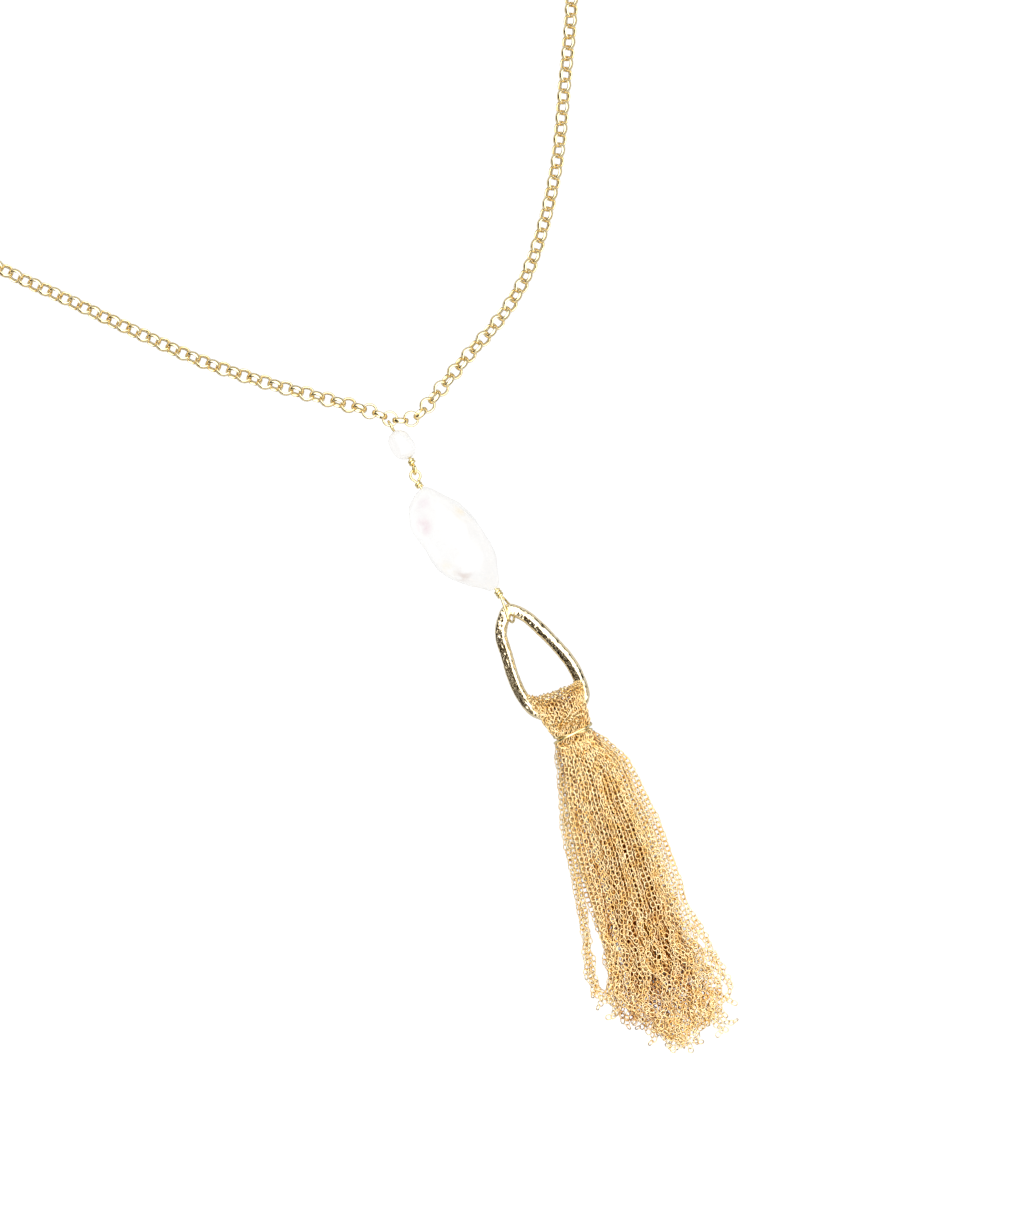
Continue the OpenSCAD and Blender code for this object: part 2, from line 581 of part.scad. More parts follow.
// Strands that fold over the ring's bar, from the waist below it to the waist above it
module fold(share) {
    across_share = share * head_w / bar_span;
    function bar_at(v) = bar_point(v, lookup(v, lower_bar));
    bar = bar_at(across_share);
    along_bar = unit(bar_at(across_share + fold_half_widths[1]) - bar_at(across_share - fold_half_widths[1]));
    out = cross([0, 0, 1], along_bar);
    half_t = fold_t / 2;
    at_waist = place(waist, tassel_frame, [share * waist_w, 0, 0]);
    edge = [0, 0, waist_edge(share)];
    arc = [for (a = [-fold_arc:fold_arc_step:fold_arc])
        bar + (out * cos(a) + [0, 0, 1] * sin(a)) * (bar_fold + half_t * (1 + fold_puff * cos(a)))];
    inside = at_waist;
    outside = at_waist - tassel_frame[2] * join_l;
    path = concat(
        [inside - edge * fold_roots[0][0], outside - edge * fold_roots[1][0]], arc,
        [outside + edge * fold_roots[1][0], inside + edge * fold_roots[0][0]]);
    t = tangents(path);
    rings = [for (i = [0:len(path) - 1])
        let (end = min(i, len(path) - 1 - i),
            at_end = end < len(fold_roots),
            across = flatten(at_end ? tassel_frame[0] : along_bar, t[i]),
            w = at_end ? waist_w * fold_half_widths[0] : head_w * fold_half_widths[1],
            h = at_end ? edge[2] * fold_roots[end][1] : half_t)
        [for (k = [0:lock_sides - 1]) let (a = 360 * k / lock_sides + 180 / lock_sides)
            path[i] + across * (w * cos(a)) + cross(t[i], across) * (h * sin(a))]];
    skin(rings);
}

// Solid knot of strands inside the tie wire
module waist_core() {
    outline = [for (a = [0:join_step:360 - join_step]) [cos(a), sin(a)] * waist_r(a, 0)];
    skin([for (along = [-join_l, join_l])
        [for (q = outline) place(waist, tassel_frame, [q[0], q[1], along])]]);
}

module tassel() {
    color("goldenrod") laid() {
        waist_core();
        for (share = fold_places) fold(share);
        for (row = lower_locks) lock(row, 0);
        for (row = upper_locks) lock(row, 1);
    }
}

chain_front();
chain_back();
clasp();
small_pearl();
small_pearl_wire();
baroque_pearl();
baroque_pearl_wire();
hammered_ring();
tie_wire();
tassel();
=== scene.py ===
"""Looks for the long tassel necklace: real links, wires, pearls, hammered ring and tassel chains.

Lengths are in millimetres in the row's frame and become metres where a mesh is made.
"""
import random
from math import acos, asin, atan2, copysign, cos, degrees, hypot, pi, radians, sin, sqrt

import bmesh
import bpy
import numpy as np
from mathutils import Matrix, Vector, noise


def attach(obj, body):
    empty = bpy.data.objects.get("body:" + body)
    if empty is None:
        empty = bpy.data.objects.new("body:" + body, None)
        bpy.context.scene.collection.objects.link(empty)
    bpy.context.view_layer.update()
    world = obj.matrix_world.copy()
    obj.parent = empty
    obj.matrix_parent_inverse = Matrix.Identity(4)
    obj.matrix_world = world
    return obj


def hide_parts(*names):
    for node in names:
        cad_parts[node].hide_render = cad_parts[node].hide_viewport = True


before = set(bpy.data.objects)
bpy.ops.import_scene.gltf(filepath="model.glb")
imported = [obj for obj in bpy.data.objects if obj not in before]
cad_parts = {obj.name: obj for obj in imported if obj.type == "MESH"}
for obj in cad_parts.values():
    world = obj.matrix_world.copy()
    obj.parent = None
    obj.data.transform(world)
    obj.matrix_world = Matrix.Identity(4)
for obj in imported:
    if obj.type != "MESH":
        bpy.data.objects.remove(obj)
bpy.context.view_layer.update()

MM = 0.001
UP = Vector((0, 0, 1))


# Camera: the photograph looks straight down on the pendant, turned clockwise

PHOTO_W = 1024
PHOTO_H = 1231
MM_PER_PIXEL = 0.2
PHOTO_TURN = 25
CAMERA_HEIGHT = 1000
SENSOR = 36
# Photo pixel of the middle link, from which the pendant hangs
MIDDLE_LINK_PIXEL = (390, 419)
# Centre of the middle link on the table
MIDDLE_LINK = Vector((-1.017, -77.916))


def from_photo(px, py):
    """Point of the table, from the middle link, that a photo pixel shows."""
    dx = px - MIDDLE_LINK_PIXEL[0]
    du = MIDDLE_LINK_PIXEL[1] - py
    turn = radians(PHOTO_TURN)
    return MM_PER_PIXEL * Vector((
        cos(turn) * dx + sin(turn) * du,
        cos(turn) * du - sin(turn) * dx))


def add_camera():
    centre = MIDDLE_LINK + from_photo(PHOTO_W / 2, PHOTO_H / 2)
    data = bpy.data.cameras.new("camera")
    data.sensor_fit = "VERTICAL"
    data.sensor_height = SENSOR
    data.lens = SENSOR * CAMERA_HEIGHT / (PHOTO_H * MM_PER_PIXEL)
    data.clip_start = 0.01
    data.clip_end = 10
    camera = bpy.data.objects.new("camera", data)
    camera.location = (centre.x * MM, centre.y * MM, CAMERA_HEIGHT * MM)
    camera.rotation_euler = (0, 0, -radians(PHOTO_TURN))
    bpy.context.scene.collection.objects.link(camera)
    bpy.context.scene.camera = camera


add_camera()


# Sizes that the source of the solids also has

LINK_OD = 3.25
LINK_T = 0.38
LINK_W = 0.88
LINK_CLEAR = 0.15
# Lengths of the front stretch right and left of the pendant
FRONT_RIGHT = 95
FRONT_LEFT = 84
CLASP_OD = 10
CLASP_T = 1.9
CLASP_EYE_OD = 4.2
CLASP_EYE_T = 0.9
END_GAP = 0.3
SMALL_L = 6.2
SMALL_W = 4.8
BAROQUE_L = 24.7
BAROQUE_W = 12.5
BAROQUE_H = 11
WIRE_D = 0.5
HOOK_EYE_OD = 2.5
INNER_EYE_OD = 2.2
OUTER_EYE_OD = 2.6
EYE_CLEAR = 0.25
LOOP_CLEAR = 0.35
COIL_A_TURNS = 2
COIL_B_TURNS = 2
COIL_C_TURNS = 3
LOOP_REACH = 3.8
RING_L = 26.5
RING_W = 14.3
BAR_D = 2.5
FOLD_T = 2.4
FOLD_CLEAR = 0.55
HEAD_W = 10.6
WAIST_W = 6.4
WAIST_H = 6.6
NECK_L = 3.9
TIE_D = 0.55
TIE_CLEAR = 0.25

# Route of the chain from the pendant round the right side to the clasp
RIGHT_ROUTE = [
    (0, 0), (2.6, -1.6), (5.7, -1.7), (9.5, 0), (18.8, 4.5), (28.2, 8.7), (35.8, 13.6), (42.2, 19.8),
    (47.8, 26.6), (53, 34), (60, 46), (68, 60), (78, 81), (87, 105), (93, 132), (96, 162), (95, 193),
    (88, 222), (75, 248), (57, 270), (34, 284.5), (8, 291)]
# Route of the chain from the pendant round the left side to the clasp's eye
LEFT_ROUTE = [
    (0, 0), (-3.4, 3.4), (-10.2, 9.2), (-20.2, 17.7), (-29.5, 26.6), (-38.5, 37), (-48, 48.4), (-58, 60.4),
    (-72, 80), (-84, 104), (-91, 132), (-94, 162), (-93, 193), (-87, 222), (-75, 248), (-57, 270),
    (-34, 284.5)]
ROUTE_STEPS = 8
# Turn of the chain about its own line: share of the front stretch, degrees
LEFT_TWIST = [(0, 0), (0.1, 22), (0.3, 32), (0.7, 42), (1, 45)]
RIGHT_TWIST = [(0, 0), (0.1, 22), (0.25, 36), (0.6, 44), (1, 45)]

# Turns of the pendant's pieces in plan, and their slopes, in degrees
SMALL_PLAN = 5
EYES_PLAN = -16
BAROQUE_PLAN = 11.4
LOOP_PLAN = 2.5
RING_PLAN = 4.8
HEAD_PLAN = -11
TASSEL_PLAN = -3.9
EYES_SLOPE = 8
BAROQUE_SLOPE = -1
# Place of the hook on the middle link, and rolls of the eyes and of the long loop, in degrees
HOOK_AT = -106
HOOK_ROLL = 94
INNER_ROLL = 72
OUTER_ROLL = 20
LOOP_ROLL = 112
BAR_LAG = 0.6
BEAD_GAP = 0.15
REST_GAP = 0.04
LOOP_FLOAT = 0.26
COIL_GAP = 0.04
EYE_STEM = 1.12
FOLD_RISE = 0.25
WAIST_POWER = 2.6
TIE_CROSS_GAP = 0.06
TIE_SPREAD = 1.5
# Half width of the source's link at its outside, as a share of its band, and a coil's start below its
# neck in wire widths
CREST_SHARE = 0.22
COIL_START = 0.62

# Baroque pearl: share of its length, then shares of its width to the left and right of the drill
# hole and shares of its thickness above and below it
BAROQUE_SECTIONS = [
    (0, 0.1, 0.07, 0.12, 0.1), (0.05, 0.3, 0.14, 0.26, 0.2), (0.12, 0.43, 0.2, 0.38, 0.29),
    (0.21, 0.515, 0.26, 0.49, 0.345), (0.32, 0.545, 0.36, 0.57, 0.375), (0.45, 0.555, 0.43, 0.61, 0.385),
    (0.58, 0.56, 0.41, 0.59, 0.38), (0.7, 0.525, 0.35, 0.54, 0.36), (0.8, 0.43, 0.3, 0.46, 0.32),
    (0.89, 0.27, 0.23, 0.34, 0.26), (0.96, 0.15, 0.15, 0.2, 0.18), (1, 0.08, 0.08, 0.1, 0.1)]
# Small pearl: the same shares
SMALL_SECTIONS = [
    (0, 0.13, 0.12, 0.13, 0.13), (0.07, 0.31, 0.27, 0.29, 0.29), (0.2, 0.44, 0.41, 0.43, 0.42),
    (0.4, 0.5, 0.47, 0.49, 0.48), (0.6, 0.51, 0.49, 0.5, 0.48), (0.8, 0.43, 0.44, 0.43, 0.42),
    (0.93, 0.28, 0.31, 0.29, 0.29), (1, 0.12, 0.14, 0.13, 0.13)]
# Middle line of the ring's bar: share of its length, share of its width to the right
RING_BENDS = [
    (0, 0), (0.1, 0.183), (0.275, 0.314), (0.486, 0.423), (0.688, 0.474), (0.863, 0.431), (0.954, 0.335),
    (1, 0.123), (0.99, -0.114), (0.932, -0.308), (0.817, -0.475), (0.656, -0.52), (0.49, -0.487),
    (0.318, -0.403), (0.174, -0.336), (0.075, -0.217)]


# Paths and frames

def mix(a, b, t):
    return a + (b - a) * t


def curve_point(a, b, c, d, t):
    """Point at share t between b and c, on a smooth curve through a, b, c and d."""
    return (b + (c - a) * (t / 2) + (a * 2 - b * 5 + c * 4 - d) * (t * t / 2)
            + (b * 3 - a - c * 3 + d) * (t * t * t / 2))


def smooth_open(points, steps):
    p = [np.array(q, float) for q in points]
    last = len(p) - 1
    return np.array([
        curve_point(p[max(i - 1, 0)], p[i], p[i + 1], p[min(i + 2, last)], k / steps)
        for i in range(last) for k in range(steps)] + [p[last]])


def smooth_closed(points, steps):
    p = [np.array(q, float) for q in points]
    n = len(p)
    return np.array([
        curve_point(p[i - 1], p[i], p[(i + 1) % n], p[(i + 2) % n], k / steps)
        for i in range(n) for k in range(steps)])


def run_lengths(path):
    """Length along a path up to each of its points."""
    return np.concatenate(([0], np.cumsum(np.linalg.norm(np.diff(path, axis=0), axis=1))))


def points_at(path, lengths):
    runs = run_lengths(path)
    return np.stack([np.interp(lengths, runs, path[:, axis]) for axis in range(path.shape[1])], axis=1)


def lookup(table, x, column=1):
    """Value of a column at x, between the rows of a table whose first column rises."""
    return float(np.interp(x, [row[0] for row in table], [row[column] for row in table]))


class Frame:
    """Sideways, upward and lengthwise unit vectors of a piece of the pendant."""

    def __init__(self, plan, slope):
        plan, slope = radians(plan), radians(slope)
        self.side = Vector((cos(plan), sin(plan), 0))
        self.axis = Vector((
            sin(plan) * cos(slope), -cos(plan) * cos(slope), sin(slope)))
        self.up = self.axis.cross(self.side)

    def place(self, origin, across, rise, along):
        return origin + self.side * across + self.up * rise + self.axis * along

    def turned(self):
        """The same frame looking back up the pendant."""
        back = Frame(0, 0)
        back.side, back.up, back.axis = -self.side, self.up, -self.axis
        return back


def asin_degrees(x):
    return degrees(asin(x))


# Stations down the pendant, from the middle link

link_r = LINK_OD / 2
link_in = link_r - LINK_T
pitch = (sqrt((link_in - LINK_CLEAR) ** 2 - (LINK_W / 2) ** 2)
         + sqrt(link_in ** 2 - (LINK_W / 2) ** 2))
chain_z = hypot(link_r, CREST_SHARE * LINK_W)

hook_eye_r = (HOOK_EYE_OD - WIRE_D) / 2
inner_eye_r = (INNER_EYE_OD - WIRE_D) / 2
outer_eye_r = (OUTER_EYE_OD - WIRE_D) / 2
coil_pitch = WIRE_D + COIL_GAP
coil_r = WIRE_D + COIL_GAP
coil_start = COIL_START * WIRE_D


def coil_l(turns):
    return coil_start + turns * coil_pitch + WIRE_D / 2


baroque_mid_z = REST_GAP + max(
    row[4] * BAROQUE_H + (0.5 - row[0]) * BAROQUE_L * sin(radians(BAROQUE_SLOPE))
    for row in BAROQUE_SECTIONS)
baroque_frame = Frame(BAROQUE_PLAN, BAROQUE_SLOPE)
hook_angle = radians(HOOK_AT)
hook_eye = (Vector((0, 0, chain_z))
            + Vector((cos(hook_angle), sin(hook_angle), 0)) * (link_r - LINK_T / 2))
small_from = hook_eye_r * EYE_STEM + WIRE_D / 2 + BEAD_GAP
inner_neck_from = small_from + SMALL_L + BEAD_GAP + coil_l(COIL_A_TURNS)
eyes_apart = inner_eye_r + outer_eye_r - WIRE_D - EYE_CLEAR
eyes_run = (inner_eye_r + outer_eye_r) * EYE_STEM + eyes_apart
baroque_from = coil_l(COIL_B_TURNS) + BEAD_GAP
outer_neck_z = baroque_mid_z - (baroque_from + BAROQUE_L / 2) * sin(radians(BAROQUE_SLOPE))
eyes_frame = Frame(EYES_PLAN, EYES_SLOPE)
small_frame = Frame(SMALL_PLAN, asin_degrees(
    (outer_neck_z - chain_z - eyes_run * sin(radians(EYES_SLOPE))) / inner_neck_from))
small_top = hook_eye + small_frame.axis * small_from
inner_neck = hook_eye + small_frame.axis * inner_neck_from
outer_neck = inner_neck + eyes_frame.axis * eyes_run
baroque_top = outer_neck + baroque_frame.axis * baroque_from
loop_neck = baroque_top + baroque_frame.axis * (BAROQUE_L + BEAD_GAP + coil_l(COIL_C_TURNS))
loop_r = (BAR_D / 2 + LOOP_CLEAR + WIRE_D / 2) / sin(radians(LOOP_ROLL))
upper_bar_z = loop_r + LOOP_FLOAT * WIRE_D
loop_frame = Frame(LOOP_PLAN, asin_degrees((upper_bar_z - loop_neck.z) / LOOP_REACH))
upper_bar = loop_neck + loop_frame.axis * (LOOP_REACH - BAR_LAG)

bar_run = RING_L - BAR_D
bar_span = RING_W - BAR_D
bar_fold = BAR_D / 2 + FOLD_CLEAR
lower_bar_z = bar_fold + FOLD_T + FOLD_RISE
ring_frame = Frame(RING_PLAN, asin_degrees((lower_bar_z - upper_bar_z) / bar_run))


def bar_point(across, along):
    return ring_frame.place(upper_bar, across * bar_span, 0, along * bar_run)


tassel_frame = Frame(TASSEL_PLAN, 0)
waist_base = bar_point(0, 1)
waist = (Vector((waist_base.x, waist_base.y, WAIST_H / 2 + TIE_CLEAR + TIE_D))
         + Frame(HEAD_PLAN, 0).axis * NECK_L)
clasp_at = np.array(RIGHT_ROUTE[-1]) - (END_GAP + CLASP_OD / 2, 0)
clasp_eye_at = clasp_at - ((CLASP_OD - CLASP_T + CLASP_EYE_OD - CLASP_EYE_T) / 2, 0)


# Making meshes

# Points of a link or of the clasp that are closer than this become one, and points of a tube that are
# closer than this share of its radius
ONE_POINT = 0.0005
ONE_POINT_SHARE = 0.01


def laid(points):
    """Points from the middle link, in millimetres, as points of the row in metres."""
    moved = np.array(points, float)
    moved[:, 0] += MIDDLE_LINK.x
    moved[:, 1] += MIDDLE_LINK.y
    return moved * MM


def finished(obj, node, material):
    """Puts a piece in the scene in place of a solid, with its finish."""
    bpy.context.scene.collection.objects.link(obj)
    obj.data.materials.append(material)
    obj.data.polygons.foreach_set("use_smooth", [True] * len(obj.data.polygons))
    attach(obj, "root")
    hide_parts(node)


def as_object(name, body):
    """An object from a body that isn't needed after it."""
    mesh = bpy.data.meshes.new(name)
    body.to_mesh(mesh)
    body.free()
    return bpy.data.objects.new(name, mesh)


def tube(name, path, radius, sides=12, closed=False):
    """Round wire along a path, as a mesh."""
    points = laid(path)
    curve = bpy.data.curves.new(name, "CURVE")
    curve.dimensions = "3D"
    curve.twist_mode = "MINIMUM"
    curve.bevel_depth = radius * MM
    curve.bevel_resolution = sides // 2 - 1
    curve.use_fill_caps = not closed
    spline = curve.splines.new("POLY")
    spline.points.add(len(points) - 1)
    spline.points.foreach_set("co", np.column_stack([points, np.ones(len(points))]).ravel())
    spline.use_cyclic_u = closed
    holder = bpy.data.objects.new(name, curve)
    bpy.context.scene.collection.objects.link(holder)
    bpy.context.view_layer.update()
    mesh = bpy.data.meshes.new_from_object(holder.evaluated_get(bpy.context.evaluated_depsgraph_get()))
    body = bmesh.new()
    body.from_mesh(mesh)
    bpy.data.objects.remove(holder)
    bpy.data.meshes.remove(mesh)
    return as_object(name, cleaned(body, radius * MM * ONE_POINT_SHARE))


def spun(body, outline, steps, centre=(0, 0, 0)):
    """Closed ring from edges that are spun round the upright line through a centre."""
    bmesh.ops.spin(
        body, geom=outline, cent=centre, axis=(0, 0, 1), dvec=(0, 0, 0), angle=2 * pi,
        steps=steps, use_merge=True, use_duplicate=False)


def ring_of_wire(body, centre, od, thick, steps, sides):
    """Adds a round wire ring that lies flat round a centre."""
    made = bmesh.ops.create_circle(
        body, segments=sides, radius=thick / 2,
        matrix=Matrix.Translation(centre + Vector(((od - thick) / 2, 0, 0)))
        @ Matrix.Rotation(pi / 2, 4, "X"))["verts"]
    spun(body, [edge for edge in body.edges if edge.verts[0] in made], steps, centre)


def cleaned(body, dist=ONE_POINT):
    """The same shape with doubled points joined and all faces turned outwards."""
    bmesh.ops.remove_doubles(body, verts=body.verts, dist=dist)
    bmesh.ops.recalc_face_normals(body, faces=body.faces)
    body.verts.index_update()
    return body


def joined(name, shape, places):
    """One mesh that holds a copy of a small shape at each place, a place being a 3 by 4 matrix."""
    bmesh.ops.triangulate(shape, faces=shape.faces)
    corners = np.array([v.co for v in shape.verts])
    faces = np.array([[v.index for v in f.verts] for f in shape.faces])
    places = np.array(places)
    points = np.einsum("pij,vj->pvi", places[:, :, :3], corners) + places[:, None, :, 3]
    shifts = np.arange(len(places))[:, None, None] * len(corners)
    mesh = bpy.data.meshes.new(name)
    mesh.from_pydata(laid(points.reshape(-1, 3)), [], (faces[None] + shifts).reshape(-1, 3))
    mesh.update()
    return bpy.data.objects.new(name, mesh)


def place_matrix(along, normal, centre):
    """Place of a link that lies along one vector with its face to another."""
    along = np.asarray(along)
    across = np.cross(normal, along)
    return np.column_stack([along, across, normal, centre])


# Shader values and materials

class Value:
    """A shader socket that takes part in Python sums."""

    def __init__(self, paint, socket):
        self.paint = paint
        self.socket = socket

    def math(self, operation, *others):
        return self.paint.node("ShaderNodeMath", {"operation": operation}, dict(enumerate((self, *others))))

    def __add__(self, other):
        return self.math("ADD", other)

    def __sub__(self, other):
        return self.math("SUBTRACT", other)

    def __rsub__(self, other):
        return (self * -1) + other

    def __mul__(self, other):
        return self.math("MULTIPLY", other)

    def __truediv__(self, other):
        return self.math("DIVIDE", other)

    def between(self, low, high):
        """From low, where this is 0, to high, where it is 1."""
        return self * (high - low) + low

    def smooth(self, low, high):
        """0 below low and 1 above high, with a soft step between them."""
        return self.paint.node(
            "ShaderNodeMapRange", {"interpolation_type": "SMOOTHSTEP"},
            {"Value": self, "From Min": low, "From Max": high})


class Paint:
    """The nodes of one material or of the world."""

    def __init__(self, tree, keep=False):
        self.tree = tree
        if not keep:
            tree.nodes.clear()

    def node(self, kind, settings=None, inputs=None, out=0):
        made = self.tree.nodes.new(kind)
        for key, value in (settings or {}).items():
            setattr(made, key, value)
        for key, value in (inputs or {}).items():
            if isinstance(value, Value):
                self.tree.links.new(value.socket, made.inputs[key])
            else:
                made.inputs[key].default_value = value
        return Value(self, made.outputs[out]) if made.outputs else None

    def coordinates(self):
        return self.node("ShaderNodeTexCoord", out="Object")

    def noise(self, patch_mm, detail=2.0, roughness=0.5):
        """Noise whose patches are about so wide."""
        return self.node("ShaderNodeTexNoise", inputs={
            "Vector": self.coordinates(), "Scale": 1 / (patch_mm * MM), "Detail": detail,
            "Roughness": roughness})

    def mix_colour(self, a, b, share):
        return self.node(
            "ShaderNodeMix", {"data_type": "RGBA"}, {"Factor": share, 6: a, 7: b}, out=2)

    def bump(self, height, depth_mm):
        return self.node("ShaderNodeBump", inputs={"Height": height, "Distance": depth_mm * MM})

    def dot(self, vector, way):
        """How far a shader vector reaches in a direction."""
        return self.node(
            "ShaderNodeVectorMath", {"operation": "DOT_PRODUCT"}, {0: vector, 1: tuple(way)}, out="Value")

    def spot(self, centre, radius):
        """1 at a point of the row, in millimetres, fading to 0 at a radius from it."""
        away = self.node(
            "ShaderNodeVectorMath", {"operation": "DISTANCE"},
            {0: self.coordinates(), 1: tuple(Vector(centre) * MM)}, out="Value")
        return 1 - away.smooth(0, radius * MM)


def new_material(name, **sockets):
    """A material from its Principled shader's sockets: values, or functions that work them out."""
    material = bpy.data.materials.new(name)
    material.use_nodes = True
    paint = Paint(material.node_tree)
    values = {key: (value(paint) if callable(value) else value) for key, value in sockets.items()}
    shader = paint.node("ShaderNodeBsdfPrincipled", inputs={
        key.replace("_", " "): value for key, value in values.items()})
    paint.node("ShaderNodeOutputMaterial", inputs={"Surface": shader})
    return material


def colour(red, green, blue):
    return (red, green, blue, 1.0)


# Straight-sided outline of the tassel, for the shade painted on its strands and on the table under it: half
# its width at the waist, the gain in that for each millimetre down, and its middle's place and lean to the
# left
OUTLINE_HALF_W = 6.5
OUTLINE_FLARE = 0.14
OUTLINE_SHIFT = 0.3
OUTLINE_LEAN = 0.055
# Top of the shade painted on the tassel's inner strands, where little light comes: its height above the
# waist, and stretches along the tassel, from and to, over which it falls by so much
INSIDE_TOP = 8.2
INSIDE_FALLS = [(-5, -1, 1.3), (1, 13, 2.6), (34, 54, 0.9)]
# How far below and above that top the painted shade fades out
INSIDE_FADE = (-1.9, 0.3)
# Squared places across the outline between which the painted shade fades out sideways, and where it starts
# and ends along the tassel
INSIDE_EDGE = (0.15, 0.5)
INSIDE_START = (-8.2, -6.2)
INSIDE_END = (54, 64)
# Colour of the shade painted on the tassel's inner strands
INSIDE_PAINTED_SHADE = (0.54, 0.20, 0.01)
# Gold: levels of the noise between which its tone changes, width of its patches of polish as a share of
# those of tone, and width, detail and roughness of the noise for its fine rubbing marks
TONE_EDGE = (0.35, 0.7)
POLISH_PATCH = 0.6
RUB_MARKS = (0.18, 4, 0.65)


def along_way(paint, way, origin=Vector((0, 0, 0))):
    """How far a point lies in a direction from an origin of the row, in millimetres."""
    return paint.dot(paint.coordinates(), way / MM) - way.dot(origin)


def over_tassel(paint):
    """How far down the tassel a point is from its waist, and its place across the skirt, which is -1 and
    1 at the edges."""
    origin = (MIDDLE_LINK + waist.xy).to_3d()
    across = along_way(paint, tassel_frame.side, origin)
    along = along_way(paint, tassel_frame.axis, origin)
    return along, (across + along * OUTLINE_LEAN - OUTLINE_SHIFT) / (along * OUTLINE_FLARE + OUTLINE_HALF_W)


def painted_inside_shade(paint, tone):
    """Painted shade: a deeper tone for what lies below the tassel's upper strands, where little light
    comes.
    """
    along, off = over_tassel(paint)
    above_top = along_way(paint, UP) - INSIDE_TOP
    for start, end, fall in INSIDE_FALLS:
        above_top = above_top + along.smooth(start, end) * fall
    within = (1 - (off * off).smooth(*INSIDE_EDGE)) * along.smooth(*INSIDE_START)
    inside = within * (1 - along.smooth(*INSIDE_END)) * (1 - above_top.smooth(*INSIDE_FADE))
    return paint.mix_colour(tone, colour(*INSIDE_PAINTED_SHADE), inside)


def gold(name, pale, deep, patch_mm, rough, scratch, add_painted_shade=lambda paint, tone: tone):
    """Polished plate whose tone and polish drift a little, with fine rubbing marks, and any painted shade
    laid over that tone.
    """
    return new_material(
        name,
        Base_Color=lambda p: add_painted_shade(p, p.mix_colour(
            colour(*pale), colour(*deep), p.noise(patch_mm, 3).smooth(*TONE_EDGE))),
        Metallic=1.0,
        Roughness=lambda p: p.noise(patch_mm * POLISH_PATCH).between(*rough),
        Normal=lambda p: p.bump(p.noise(*RUB_MARKS), scratch))


chain_gold = gold("chain_gold", (0.95, 0.82, 0.52), (0.89, 0.70, 0.35), 2.5, (0.06, 0.14), 0.003)
wire_gold = gold("wire_gold", (0.93, 0.80, 0.45), (0.80, 0.65, 0.30), 1.5, (0.08, 0.16), 0.002)
ring_gold = gold("ring_gold", (0.97, 0.85, 0.60), (0.94, 0.77, 0.46), 2.0, (0.04, 0.10), 0.004)
# The strands' colour carries painted shade on the tassel's inner strands, where little light comes.
strand_gold = gold(
    "strand_gold", (0.98, 0.81, 0.50), (0.92, 0.63, 0.25), 2.0, (0.08, 0.16), 0.002, painted_inside_shade)


# Belcher chain

LINK_STEPS = 16
# Half of a link's band, seen in section: share of its thickness from the link's inside, half its width as
# a share of the band's named width
LINK_BAND = [(0, 0.46), (0.45, 0.58), (1, 0.34)]
# Share of a side's length over which its back links turn to the roll that the clasp needs
UNTWIST = 0.5


def belcher_link():
    """A round link of a low band: its outline is spun round its middle."""
    outline = LINK_BAND + [(share, -width) for share, width in reversed(LINK_BAND)]
    link = bmesh.new()
    corners = [link.verts.new((link_in + share * LINK_T, 0, width * LINK_W)) for share, width in outline]
    loop = [link.edges.new((corners[i - 1], corners[i])) for i in range(len(corners))]
    spun(link, loop, LINK_STEPS)
    return cleaned(link)


def link_places(route, lengths, rolls):
    """Places of links at lengths along a route, each turned about the route by its roll in degrees."""
    centres = points_at(route, lengths)
    heading = points_at(route, lengths + pitch / 2) - points_at(route, np.maximum(lengths - pitch / 2, 0))
    heading /= np.linalg.norm(heading, axis=1)[:, None]
    places = []
    for centre, along, roll in zip(centres, heading, np.radians(rolls)):
        along = np.array([along[0], along[1], 0])
        across = np.array([-along[1], along[0], 0])
        normal = np.array([0, 0, cos(roll)]) - across * sin(roll)
        places.append(place_matrix(along, normal, (centre[0], centre[1], chain_z)))
    return places


def chain_side(points, front_l, twist, first):
    """Places of one side's front and back links, the last of which hangs on the clasp's side."""
    route = smooth_open(points, ROUTE_STEPS)
    last_front = int(front_l / pitch)
    front = np.arange(first, last_front + 1) * pitch
    front_rolls = [lookup(twist, s / front_l) + (i % 2) * 90 for i, s in enumerate(front, first)]
    reach = run_lengths(route)[-1]
    count = round((reach - front[-1]) / pitch)
    back = front[-1] + np.arange(1, count + 1) * (reach - front[-1]) / count
    final_roll = 90 if (last_front + count) % 2 == 0 else 0
    eased = np.clip((back - front[-1]) / (reach * UNTWIST), 0, 1)
    back_rolls = [
        mix(twist[-1][1], final_roll, share) + ((last_front + 1 + i) % 2) * 90
        for i, share in enumerate(eased)]
    return link_places(route, front, front_rolls), link_places(route, back, back_rolls)


def make_chain():
    """Real links along the whole loop, also where the source has a plain tube."""
    hang_right = (CLASP_OD - CLASP_T) / 2 + link_in - CLASP_T / 2 - LINK_CLEAR
    hang_left = (CLASP_EYE_OD - CLASP_EYE_T) / 2 + link_in - CLASP_EYE_T / 2 - LINK_CLEAR
    right_end = (clasp_at[0] + hang_right, clasp_at[1])
    left_end = (clasp_eye_at[0] - hang_left, clasp_eye_at[1])
    right_front, right_back = chain_side(
        RIGHT_ROUTE[:-1] + [right_end], FRONT_RIGHT, RIGHT_TWIST, 0)
    left_front, left_back = chain_side(LEFT_ROUTE + [left_end], FRONT_LEFT, LEFT_TWIST, 1)
    for node, places in (
            ("chain_front", right_front + left_front), ("chain_back", right_back + left_back)):
        finished(joined(f"{node}_links", belcher_link(), places), node, chain_gold)


make_chain()


# Pearls

SECTION_STEPS = 6
# Part of the sphere's radius, round its poles, that closes a pearl's ends
POLE_SHARE = 0.12
# Facets round each pearl, and its lumps: how wide and how high they are
SMALL_DETAIL = 48
SMALL_LUMPS = [(2.4, 0.16), (1.1, 0.05)]
BAROQUE_DETAIL = 96
BAROQUE_LUMPS = [(7, 0.7), (3.2, 0.35), (1.3, 0.08)]


